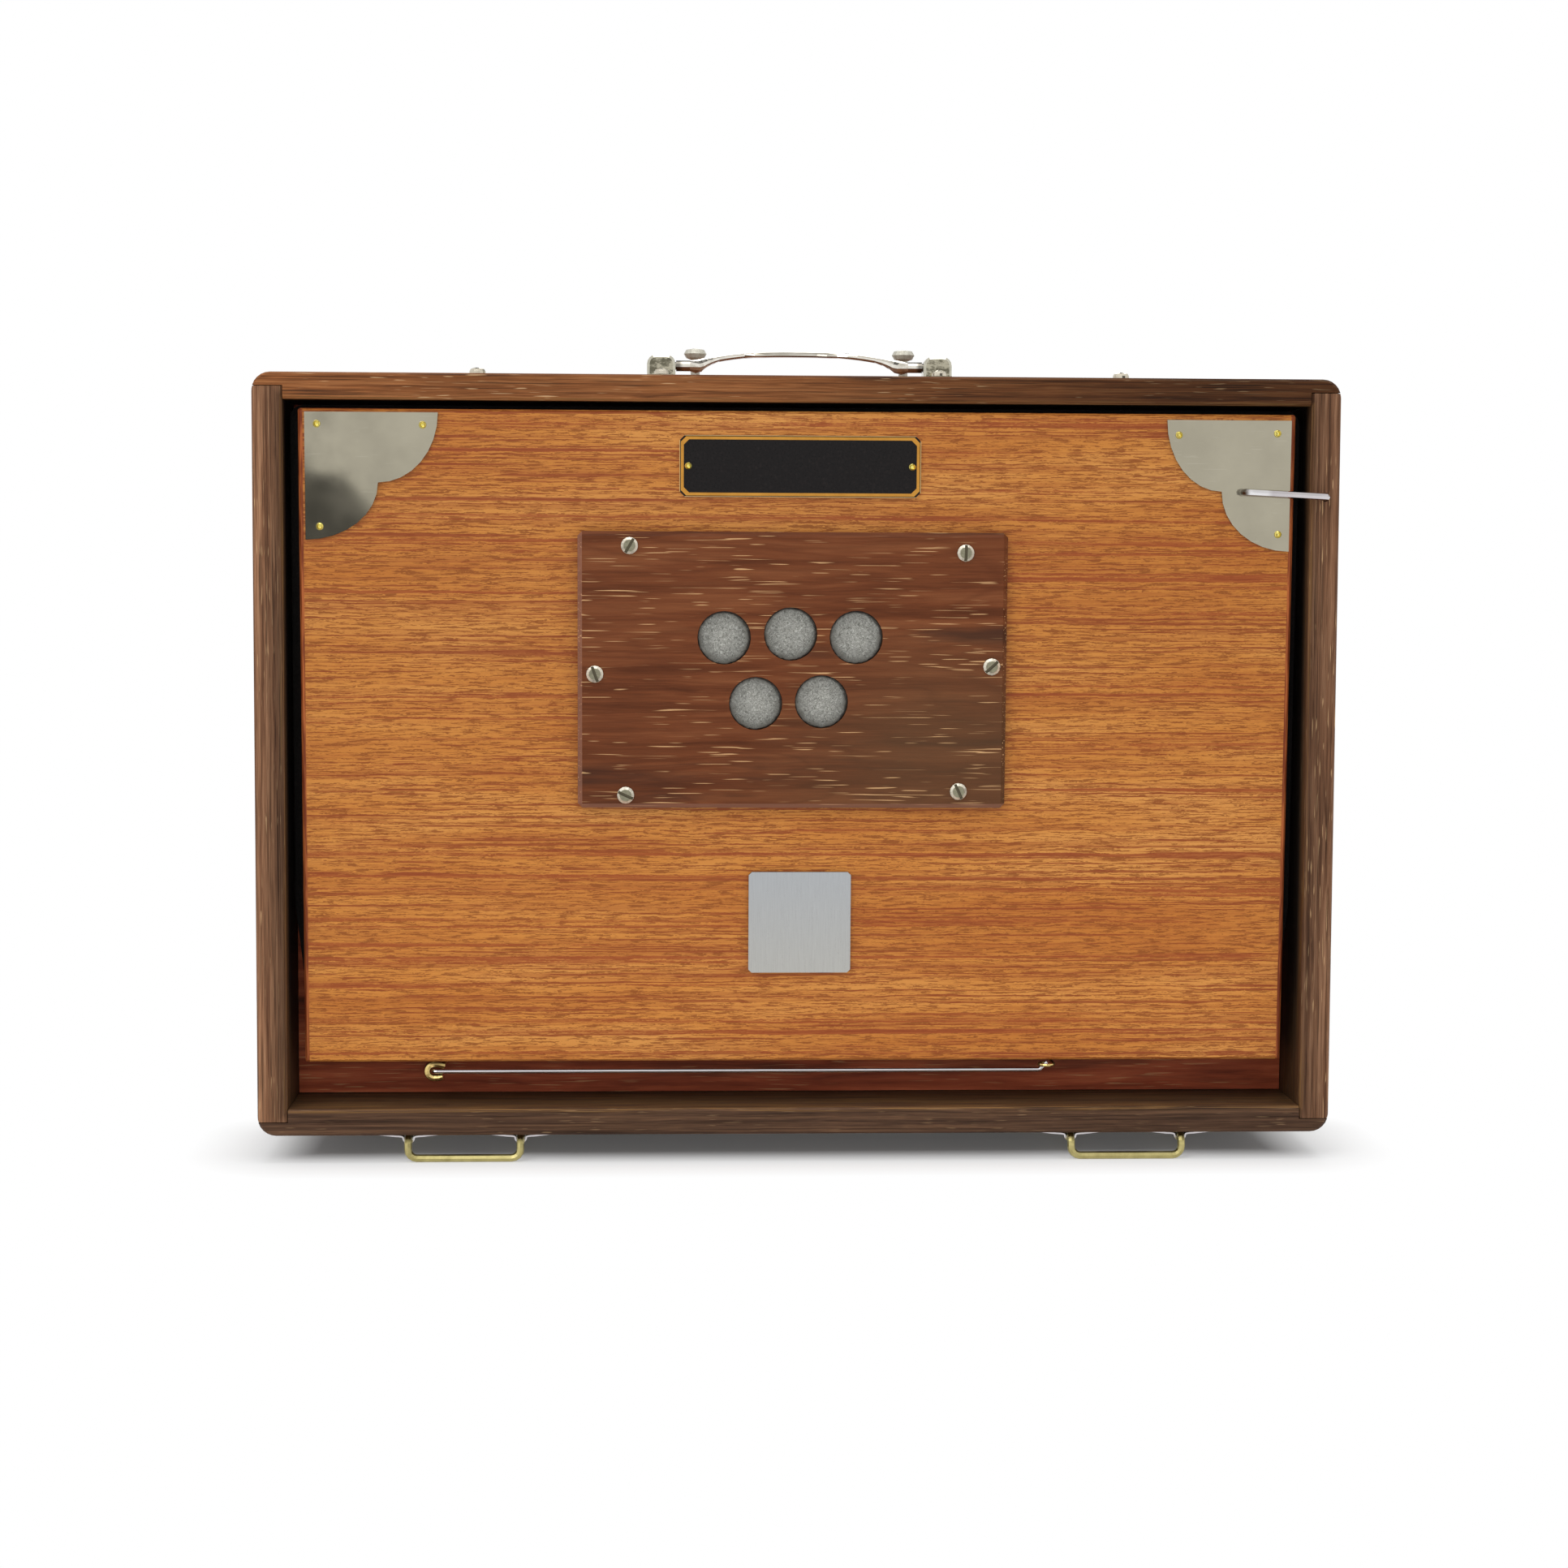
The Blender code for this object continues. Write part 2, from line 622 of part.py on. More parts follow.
def make_plates(pump, face, black, badge_metal):
    seat = face - SEAT_GAP
    bm = bmesh.new()
    outline = clipped_rectangle(0.0, pump_level(NAME_PLATE_LEVEL), *NAME_PLATE_SIZE, NAME_PLATE_CLIP)
    prism(bm, outline, seat - NAME_PLATE_THICK, seat)
    add_mesh("name_plate", bm, black, pump)

    bm = bmesh.new()
    outline = clipped_rectangle(BADGE_CENTRE_X, pump_level(BADGE_LEVEL), *BADGE_SIZE, BADGE_CLIP)
    prism(bm, outline, seat - BADGE_THICK, seat)
    add_mesh("badge_plate", bm, badge_metal, pump)


def make_bellows(board_back, cloth, steel):
    """A pleated sleeve between the leaning pump board and the upright centre board, drawn in at its foot."""
    lean = math.tan(PUMP_LEAN)
    centre_front = depth(CENTRE_BOARD_DEPTH) - SEAT_GAP

    def front_at(z):
        return PUMP_PIVOT.y + board_back / math.cos(PUMP_LEAN) - (z - PUMP_PIVOT.z) * lean + SEAT_GAP * 1.5

    ridge_x = INNER_HALF_WIDTH - RIDGE_CLEARANCE
    ridge_top = min(height(CASE_HEIGHT - BOARD_THICK) - RIDGE_CLEARANCE, height(PUMP_TOP_LEVEL) + PLEAT_DEPTH)
    ridge_floor = height(HINGE_HEIGHT + PUMP_BOTTOM_ABOVE_HINGE) + CLOTH_THICK
    levels = PLEAT_COUNT * 2
    bm = bmesh.new()
    rings = []
    for skin in (0.0, CLOTH_THICK):
        for i in range(levels + 1):
            share = i / levels
            inset = skin + (PLEAT_DEPTH if i % 2 == 0 else 0.0)
            side = ridge_x - inset
            foot = PUMP_HALF_WIDTH - BELLOWS_FOOT_INSET - inset
            knee = height(BELLOWS_KNEE_HEIGHT)
            top = ridge_top - inset
            floor = ridge_floor + inset
            ring = []
            right_half = [(foot, floor), (side, knee), (side, top)]
            for x, z in right_half + [(-x, z) for x, z in reversed(right_half)]:
                y = front_at(z) * (1 - share) + centre_front * share
                ring.append(bm.verts.new((x, y, z)))
            rings.append(ring)
    outer = rings[:levels + 1]
    inner = rings[levels + 1:]
    loops = outer + list(reversed(inner))
    corners = len(rings[0])
    for here, there in zip(loops, loops[1:] + loops[:1]):
        for i in range(corners):
            j = (i + 1) % corners
            bm.faces.new((here[i], here[j], there[j], there[i]))
    add_mesh("bellows_cloth", bm, cloth)

    wire = SPRING_WIRE / 2
    reach = SEAT_GAP + wire
    for name, side in (("bellows_spring_left", -1), ("bellows_spring_right", 1)):
        x = side * SPRING_SPREAD / 2
        top_z = height(SPRING_TOP_HEIGHT)
        bend_z = height(SPRING_BEND_HEIGHT)
        fixed = centre_front - reach
        pressed = front_at(top_z) + reach
        middle = (fixed + pressed) / 2
        path = [(x, fixed, top_z), (x, middle, bend_z), (x, pressed, top_z)]
        rod(name, bent(path, SPRING_WIRE), wire, steel)


def make_catch(case_right, chrome):
    """A wire whose leg turns in the right board, and whose bent tip holds the pump board's corner plate."""
    pivot_x = CASE_WIDTH / 2 - CATCH_INSET
    pivot_level = CASE_HEIGHT - CATCH_BELOW_TOP
    catch = axis_empty("catch_axis", (pivot_x, depth(-CATCH_STANDOFF), height(pivot_level)))
    lean = math.tan(PUMP_LEAN)
    plate_depth = HINGE_DEPTH - PUMP_FRONT_BEFORE_HINGE - (pivot_level + CATCH_RISE - HINGE_HEIGHT) * lean
    tip_depth = plate_depth - CORNER_PLATE_THICK - 2 * SEAT_GAP
    path = [(0, CATCH_STANDOFF + CATCH_LEG_DEPTH, 0), (0, 0, 0), (-CATCH_LENGTH, 0, CATCH_RISE),
            (-CATCH_LENGTH, CATCH_STANDOFF + tip_depth, CATCH_RISE)]
    rod("catch_hook", bent(path, CATCH_BEND_RADIUS), CATCH_ROD_RADIUS, chrome, catch)
    bore = bmesh.new()
    cylinder(bore, (pivot_x, 0, height(pivot_level)), CATCH_ROD_RADIUS + CATCH_RUN,
             depth(-BOARD_THICK), depth(CATCH_LEG_DEPTH + SEAT_GAP), sides=16)
    combine(case_right, bore, "DIFFERENCE", "catch_bore")


def ring_points(radius, start, end, stretch=1.0, steps=12):
    """Points round an open ring from one angle to another, its half towards the first axis stretched."""
    points = []
    for i in range(steps + 1):
        angle = math.radians(start + (end - start) * i / steps)
        a = radius * math.cos(angle)
        points.append((a * stretch if a > 0 else a, radius * math.sin(angle)))
    return points


def make_hinge_rod(steel, brass):
    """The rod lies on the hinge line. Its left end hooks back through an upright open eye, its right end
    rises through a level eye, and each eye's shank runs back into the centre board.
    """
    y = PUMP_PIVOT.y
    run = PUMP_PIVOT.z
    shank_end = depth(CENTRE_BOARD_DEPTH) - SEAT_GAP
    left_x = LEFT_EYE_INSET - CASE_WIDTH / 2
    play = LEFT_EYE_RING_RADIUS - LEFT_EYE_WIRE_RADIUS - HINGE_ROD_RADIUS - SEAT_GAP
    left_y = y + LEFT_EYE_BEHIND
    hook_x = left_x - play * math.cos(LEFT_EYE_SEAT_ANGLE)
    left_z = run + play * math.sin(LEFT_EYE_SEAT_ANGLE)
    ring = ring_points(LEFT_EYE_RING_RADIUS, LEFT_EYE_OPEN_START, LEFT_EYE_OPEN_END, LEFT_EYE_STRETCH)
    points = [(left_x + a, left_y, left_z + b) for a, b in ring]
    last = points[-1]
    rod("hinge_eye_left", points + [(last[0], shank_end, last[2])], LEFT_EYE_WIRE_RADIUS, brass)

    right_x = CASE_WIDTH / 2 - RIGHT_EYE_INSET
    right_z = run + RIGHT_EYE_ABOVE_ROD
    ring = ring_points(RIGHT_EYE_RING_RADIUS, RIGHT_EYE_OPEN_START, 0.0)
    points = [(right_x + a, y - b, right_z) for a, b in ring]
    shank = (right_x + RIGHT_EYE_RING_RADIUS, shank_end, right_z)
    rod("hinge_eye_right", points + [shank], RIGHT_EYE_WIRE_RADIUS, brass)

    seat = (RIGHT_EYE_WIRE_RADIUS + HINGE_ROD_RADIUS + SEAT_GAP) * math.sqrt(2)
    pass_x = right_x - RIGHT_EYE_RING_RADIUS + seat
    rise_x = pass_x - RIGHT_EYE_ABOVE_ROD
    path = [(hook_x, left_y + ROD_END, run), (hook_x, y, run), (rise_x, y, run),
            (pass_x + ROD_END, y, right_z + ROD_END)]
    rod("hinge_rod", bent(path, ROD_BEND_RADIUS, steps=3), HINGE_ROD_RADIUS, steel)


def handle_section(share):
    """Half the width, half the thickness and the droop of the bail, by the share of its half span."""
    for (low, *inner), (high, *outer) in zip(HANDLE_SECTIONS, HANDLE_SECTIONS[1:]):
        if share <= high:
            part = (share - low) / (high - low)
            ease_in = part * part * (3 - 2 * part)
            return [a + (b - a) * ease_in for a, b in zip(inner, outer)]
    return HANDLE_SECTIONS[-1][1:]


def make_bail(axis, chrome):
    """The bail is a flattened bar that thickens to its feet, with a round knuckle and pin at each end."""
    half = HANDLE_HALF_SPAN
    knuckle_end = BRACKET_CENTRE_X - BRACKET_WIDTH / 2 - SEAT_GAP
    ends = ((BRACKET_CENTRE_X, HANDLE_PIN_RADIUS), (knuckle_end, HANDLE_PIN_RADIUS),
            (knuckle_end, HANDLE_KNUCKLE_RADIUS), (half, HANDLE_KNUCKLE_RADIUS))
    level = Vector((0, 1, 0))
    stations = [(Vector((-x, 0, 0)), level, radius, radius, 0.0) for x, radius in ends]
    arch_steps = 24
    first = math.acos(1 - HANDLE_ARCH_INSET / half)
    for i in range(arch_steps + 1):
        share = -math.cos(first + (math.pi - 2 * first) * i / arch_steps)
        reach = HANDLE_REACH * (1 - abs(share) ** HANDLE_CURVE_POWER)
        steepness = HANDLE_REACH * HANDLE_CURVE_POWER / half * abs(share) ** (HANDLE_CURVE_POWER - 1)
        along = Vector((1, -math.copysign(steepness, share), 0)).normalized()
        across = Vector((-along.y, along.x, 0))
        stations.append((Vector((share * half, reach, 0)), across, *handle_section(abs(share))))
    stations += [(Vector((x, 0, 0)), level, radius, radius, 0.0) for x, radius in reversed(ends)]

    sides = 12
    bm = bmesh.new()
    rings = []
    for centre, across, wide, thick, droop in stations:
        ring = []
        for i in range(sides):
            angle = 2 * math.pi * i / sides
            point = centre + across * (wide * math.cos(angle))
            ring.append(bm.verts.new(point + Vector((0, 0, thick * math.sin(angle) - droop))))
        rings.append(ring)
    for here, there in zip(rings, rings[1:]):
        for i in range(sides):
            j = (i + 1) % sides
            bm.faces.new((here[i], here[j], there[j], there[i]))
    bm.faces.new(rings[0])
    bm.faces.new(rings[-1][::-1])
    add_mesh("handle", bm, chrome, axis, smooth=True)


def make_handle(chrome, dark_metal):
    base = CASE_TOP + SEAT_GAP
    pivot_z = CASE_TOP + HANDLE_PIVOT_HEIGHT
    axis = axis_empty("handle_axis", (HANDLE_CENTRE_X, CASE_MIDDLE, pivot_z), HANDLE_TILT)
    make_bail(axis, chrome)
    front = CASE_MIDDLE - BRACKET_DEPTH / 2
    back = CASE_MIDDLE + BRACKET_DEPTH / 2
    tongue_front = front - BRACKET_TONGUE
    for name, side, stop_x in (("left", -1, LEFT_STOP_X), ("right", 1, RIGHT_STOP_X)):
        x = HANDLE_CENTRE_X + side * BRACKET_CENTRE_X
        low = x - BRACKET_WIDTH / 2
        high = x + BRACKET_WIDTH / 2
        shoulder = base + BRACKET_HEIGHT - BRACKET_ROUND
        outline = [(low, base), (high, base)]
        outline += arc(high - BRACKET_ROUND, shoulder, BRACKET_ROUND, 0, 90, 4)
        outline += arc(low + BRACKET_ROUND, shoulder, BRACKET_ROUND, 90, 180, 4)
        bm = bmesh.new()
        prism(bm, outline, front, back)
        bracket = add_mesh(f"handle_bracket_{name}", bm, chrome, smooth=True)
        ease(bracket, BRACKET_EASE)
        tongue = bmesh.new()
        plan = rectangle(low + BRACKET_EASE, tongue_front, high - BRACKET_EASE, CASE_MIDDLE)
        prism(tongue, plan, base, base + BRACKET_TONGUE_THICK, axis="Z")
        combine(bracket, tongue, "UNION", f"bracket_tongue_{name}")
        bore = bmesh.new()
        cylinder(bore, (0, CASE_MIDDLE, pivot_z), HANDLE_PIN_RADIUS + HANDLE_RUN,
                 x - BRACKET_WIDTH, x + BRACKET_WIDTH, axis="X")
        combine(bracket, bore, "DIFFERENCE", f"bracket_bore_{name}")
        screw_place = (x, tongue_front + BRACKET_TONGUE / 2)
        pan_screw(f"bracket_screw_{name}", screw_place, base + BRACKET_TONGUE_THICK,
                  BRACKET_SCREW_RADIUS, BRACKET_SCREW_HEIGHT, dark_metal)

        place = (HANDLE_CENTRE_X + side * stop_x, CASE_MIDDLE + STOP_BEHIND_PIVOT, base)
        head = STOP_HEIGHT - STOP_HEAD_THICK
        shoulder = STOP_HEAD_RADIUS * 0.8
        profile = [(0.0, 0.0), (STOP_POST_RADIUS, 0.0), (STOP_POST_RADIUS, head),
                   (shoulder, head + STOP_HEAD_THICK * 0.15),
                   (STOP_HEAD_RADIUS, head + STOP_HEAD_THICK * 0.5),
                   (shoulder, head + STOP_HEAD_THICK * 0.85), (0.0, STOP_HEIGHT)]
        stop = bmesh.new()
        turned(stop, profile, place, axis="Z")
        add_mesh(f"handle_stop_{name}", stop, chrome, smooth=True)


def pan_screw(name, place, seat, radius, tall, finish):
    """A domed screw head that stands on a level."""
    x, y = place
    base = seat + SEAT_GAP
    profile = [(0.0, base), (radius, base), (radius, base + tall * 0.45), (radius * 0.85, base + tall * 0.8),
               (radius * 0.5, base + tall), (0.0, base + tall)]
    bm = bmesh.new()
    turned(bm, profile, (x, y, 0), axis="Z")
    add_mesh(name, bm, finish, smooth=True)


def make_feet(brass, steel):
    """Each foot is a closed wire loop that slides in two thin saddle straps under the case. A strap's wings
    meet the wood at their ends and slope down to the wire.
    """
    wire = FOOT_WIRE_RADIUS
    run_z = UNDERSIDE - SEAT_GAP - wire
    front = depth(FOOT_FRONT_DEPTH)
    rear = depth(FOOT_REAR_DEPTH)
    foot_x = CASE_WIDTH / 2 - FOOT_INSET
    half = FOOT_SPAN / 2
    wrap = wire + STRAP_RUN + STRAP_THICK / 2
    wing_z = UNDERSIDE - SEAT_GAP - STRAP_THICK / 2
    for name, side in (("left", -1), ("right", 1)):
        foot = axis_empty(f"foot_axis_{name}", (side * foot_x, 0, 0))
        path = [(-half, front, wire), (-half, front, run_z), (-half, rear, run_z), (-half, rear, wire),
                (half, rear, wire), (half, rear, run_z), (half, front, run_z), (half, front, wire)]
        rod(f"foot_wire_{name}", bent(path, FOOT_BEND_RADIUS, cyclic=True), wire, brass, foot, cyclic=True)
        for place, x in (("outer", side * (foot_x + half)), ("inner", side * (foot_x - half))):
            sloped_z = wing_z - STRAP_SLOPE
            fillet = quarter_ellipse(-wrap - STRAP_FILLET, run_z, STRAP_FILLET, sloped_z - run_z, 4)
            left = [(-STRAP_WING, wing_z)] + fillet[::-1]
            path = left + arc(0, run_z, wrap, 180, 360, 10)[1:-1] + [(-a, b) for a, b in reversed(left)]
            outline = band([(x + a, b) for a, b in path], STRAP_THICK)
            bm = bmesh.new()
            prism(bm, outline, depth(STRAP_DEPTH), depth(STRAP_DEPTH + STRAP_LENGTH))
            add_mesh(f"foot_strap_{name}_{place}", bm, steel, smooth=True)


def make_key_side(red_wood, brass, steel):
    inner_top = height(CASE_HEIGHT - BOARD_THICK) - SEAT_GAP
    inner_floor = height(BOARD_THICK) + SEAT_GAP
    side = INNER_HALF_WIDTH - SEAT_GAP
    front = depth(KEY_PANEL_DEPTH)
    back = front + KEY_PANEL_THICK
    pivot_z = height(KEY_PIVOT_HEIGHT)
    places = [(i - (KEY_COUNT - 1) / 2) * KEY_PITCH for i in range(KEY_COUNT)]
    bm = bmesh.new()
    prism(bm, rectangle(-side, inner_floor, side, inner_top), front, back)
    panel = add_mesh("key_panel", bm, red_wood)
    holes = bmesh.new()
    for x in places:
        cylinder(holes, (x, 0, pivot_z - KEY_HOLE_BELOW_PIVOT), KEY_HOLE_RADIUS,
                 front - KEY_PANEL_THICK, back + KEY_PANEL_THICK)
        cylinder(holes, (x, 0, pivot_z), KEY_PIN_RADIUS + KEY_RUN, back - KEY_PIN_DEPTH - SEAT_GAP,
                 back + KEY_PANEL_THICK, sides=12)
    combine(panel, holes, "DIFFERENCE", "panel_holes")

    for i, x in enumerate(places):
        axis = axis_empty(f"key_axis_{i + 1:02d}", (x, back, pivot_z))
        half = KEY_WIDTH / 2
        bm = bmesh.new()
        outline = rounded_rectangle(-half, -KEY_LENGTH, half, half, half * 0.8)
        prism(bm, outline, SEAT_GAP, SEAT_GAP + KEY_THICK)
        tab = add_mesh(f"key_{i + 1:02d}", bm, brass, axis, smooth=True)
        face = SEAT_GAP + KEY_THICK
        extras = bmesh.new()
        screw = [(0.0, -KEY_PIN_DEPTH), (KEY_PIN_RADIUS, -KEY_PIN_DEPTH), (KEY_PIN_RADIUS, face / 2),
                 (KEY_HEAD_RADIUS, face / 2), (KEY_HEAD_RADIUS, face + KEY_HEAD_HEIGHT / 2),
                 (0.0, face + KEY_HEAD_HEIGHT)]
        turned(extras, screw, (0, 0, 0), sides=12)
        knob = [(0.0, face / 2), (KEY_KNOB_RADIUS, face / 2),
                (KEY_KNOB_RADIUS * 0.8, face + KEY_KNOB_HEIGHT * 0.4),
                (KEY_KNOB_RADIUS, face + KEY_KNOB_HEIGHT * 0.9), (0.0, face + KEY_KNOB_HEIGHT)]
        turned(extras, knob, (0, 0, KEY_KNOB_FROM_END - KEY_LENGTH), sides=12)
        combine(tab, extras, "UNION", f"key_fittings_{i + 1:02d}", axis)

    reed_back = front - SEAT_GAP
    middle = pivot_z - KEY_HOLE_BELOW_PIVOT
    reed_half = KEY_COUNT * KEY_PITCH / 2
    plate = bmesh.new()
    outline = rectangle(-reed_half, middle - REED_PLATE_HEIGHT / 2, reed_half, middle + REED_PLATE_HEIGHT / 2)
    prism(plate, outline, reed_back - REED_PLATE_THICK, reed_back)
    reed_plate = add_mesh("reed_plate", plate, brass)
    slits = bmesh.new()
    for x in places:
        a = REED_WIDTH / 2
        b = a + REED_SLIT
        low = middle - REED_LENGTH / 2
        high = middle + REED_LENGTH / 2
        outline = [(x - b, low), (x - b, high + REED_SLIT), (x + b, high + REED_SLIT), (x + b, low),
                   (x + a, low), (x + a, high), (x - a, high), (x - a, low)]
        prism(slits, outline, reed_back - REED_PLATE_THICK * 2, reed_back + REED_PLATE_THICK)
    combine(reed_plate, slits, "DIFFERENCE", "reed_slits")


def build():
    clear_scene()
    dark_wood = material("dark_wood", (0.150, 0.068, 0.038), 0.45)
    red_wood = material("red_wood", (0.110, 0.030, 0.014), 0.5)
    laminate = material("laminate", (0.420, 0.165, 0.042), 0.3)
    leather = material("leather", (0.30, 0.17, 0.09), 0.7)
    cloth = material("bellows_cloth", (0.008, 0.007, 0.006), 0.8)
    felt = material("felt", (0.30, 0.32, 0.35), 0.95)
    steel = material("steel", (0.60, 0.58, 0.53), 0.22, 1.0)
    chrome = material("chrome", (0.70, 0.70, 0.70), 0.12, 1.0)
    brass = material("brass", (0.62, 0.48, 0.20), 0.3, 1.0)
    black = material("black_plate", (0.012, 0.010, 0.010), 0.3)
    badge_metal = material("badge_metal", (0.50, 0.50, 0.48), 0.35, 1.0)

    case_right = make_case(dark_wood)
    make_centre_board(red_wood, leather)
    pump = axis_empty("pump_axis", PUMP_PIVOT, PUMP_LEAN)
    face, back, top = make_pump_board(pump, laminate, leather)
    plate_face = make_inlet_plate(pump, face, red_wood, felt)
    make_inlet_screws(pump, plate_face, steel)
    make_corner_plates(pump, face, top, steel)
    make_plates(pump, face, black, badge_metal)
    make_bellows(back, cloth, steel)
    make_catch(case_right, chrome)
    make_hinge_rod(steel, brass)
    make_handle(chrome, steel)
    top_screws = (("left", LEFT_TOP_SCREW_INSET - CASE_WIDTH / 2),
                  ("right", CASE_WIDTH / 2 - RIGHT_TOP_SCREW_INSET))
    for name, x in top_screws:
        pan_screw(f"top_screw_{name}", (x, depth(TOP_SCREW_DEPTH)), CASE_TOP,
                  TOP_SCREW_RADIUS, TOP_SCREW_HEIGHT, steel)
    make_feet(brass, steel)
    make_key_side(red_wood, brass, steel)


build()
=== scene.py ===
"""Looks of the large shruti box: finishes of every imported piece, small trim, light, floor and camera."""

import json
import math

import bmesh
import bpy
from mathutils import Matrix, Vector, noise


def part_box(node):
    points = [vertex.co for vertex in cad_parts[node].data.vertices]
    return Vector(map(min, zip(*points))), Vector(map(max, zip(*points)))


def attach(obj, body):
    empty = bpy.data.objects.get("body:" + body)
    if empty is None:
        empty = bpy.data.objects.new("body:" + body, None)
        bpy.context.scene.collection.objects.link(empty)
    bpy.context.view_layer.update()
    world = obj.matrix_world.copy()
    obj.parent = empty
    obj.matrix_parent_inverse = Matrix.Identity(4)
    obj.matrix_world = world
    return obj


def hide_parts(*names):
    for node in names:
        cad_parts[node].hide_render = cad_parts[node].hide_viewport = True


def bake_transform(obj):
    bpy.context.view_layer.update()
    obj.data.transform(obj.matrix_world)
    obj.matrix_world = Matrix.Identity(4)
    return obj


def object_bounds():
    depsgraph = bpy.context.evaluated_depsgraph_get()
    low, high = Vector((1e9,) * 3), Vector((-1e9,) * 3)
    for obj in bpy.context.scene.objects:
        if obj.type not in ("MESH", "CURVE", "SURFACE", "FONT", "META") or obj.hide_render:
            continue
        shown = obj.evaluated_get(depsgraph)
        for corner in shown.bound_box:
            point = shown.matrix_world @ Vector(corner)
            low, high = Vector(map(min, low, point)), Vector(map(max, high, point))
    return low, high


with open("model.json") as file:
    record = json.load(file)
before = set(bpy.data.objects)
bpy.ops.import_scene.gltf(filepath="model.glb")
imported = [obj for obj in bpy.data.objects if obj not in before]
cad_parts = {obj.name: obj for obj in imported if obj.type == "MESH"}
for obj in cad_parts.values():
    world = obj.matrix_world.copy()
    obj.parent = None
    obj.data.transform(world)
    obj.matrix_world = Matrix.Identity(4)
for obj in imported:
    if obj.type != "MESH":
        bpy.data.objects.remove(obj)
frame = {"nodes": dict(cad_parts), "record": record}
nodes = frame["nodes"]
cad_low, cad_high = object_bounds()

# Camera, from a fit on the photographed corners of the case and the pump board
LENS_MM = 66.8
YAW = math.radians(2.671)
PITCH = math.radians(4.200)
ROLL = math.radians(0.262)
CAMERA_FROM_CASE_FOOT = Vector((-0.0570, -1.0987, 0.2150))

CASE_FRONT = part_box("case_left")[0].y
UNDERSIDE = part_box("case_bottom")[0].z
INNER_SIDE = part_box("case_right")[0].x
INNER_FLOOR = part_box("case_bottom")[1].z
INNER_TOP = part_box("case_top")[0].z
SEAT_GAP = 0.0003


def srgb(*values):
    """A colour as seen on a screen, 0 to 255, in linear numbers."""
    return tuple(((value / 255 + 0.055) / 1.055) ** 2.4 for value in values)


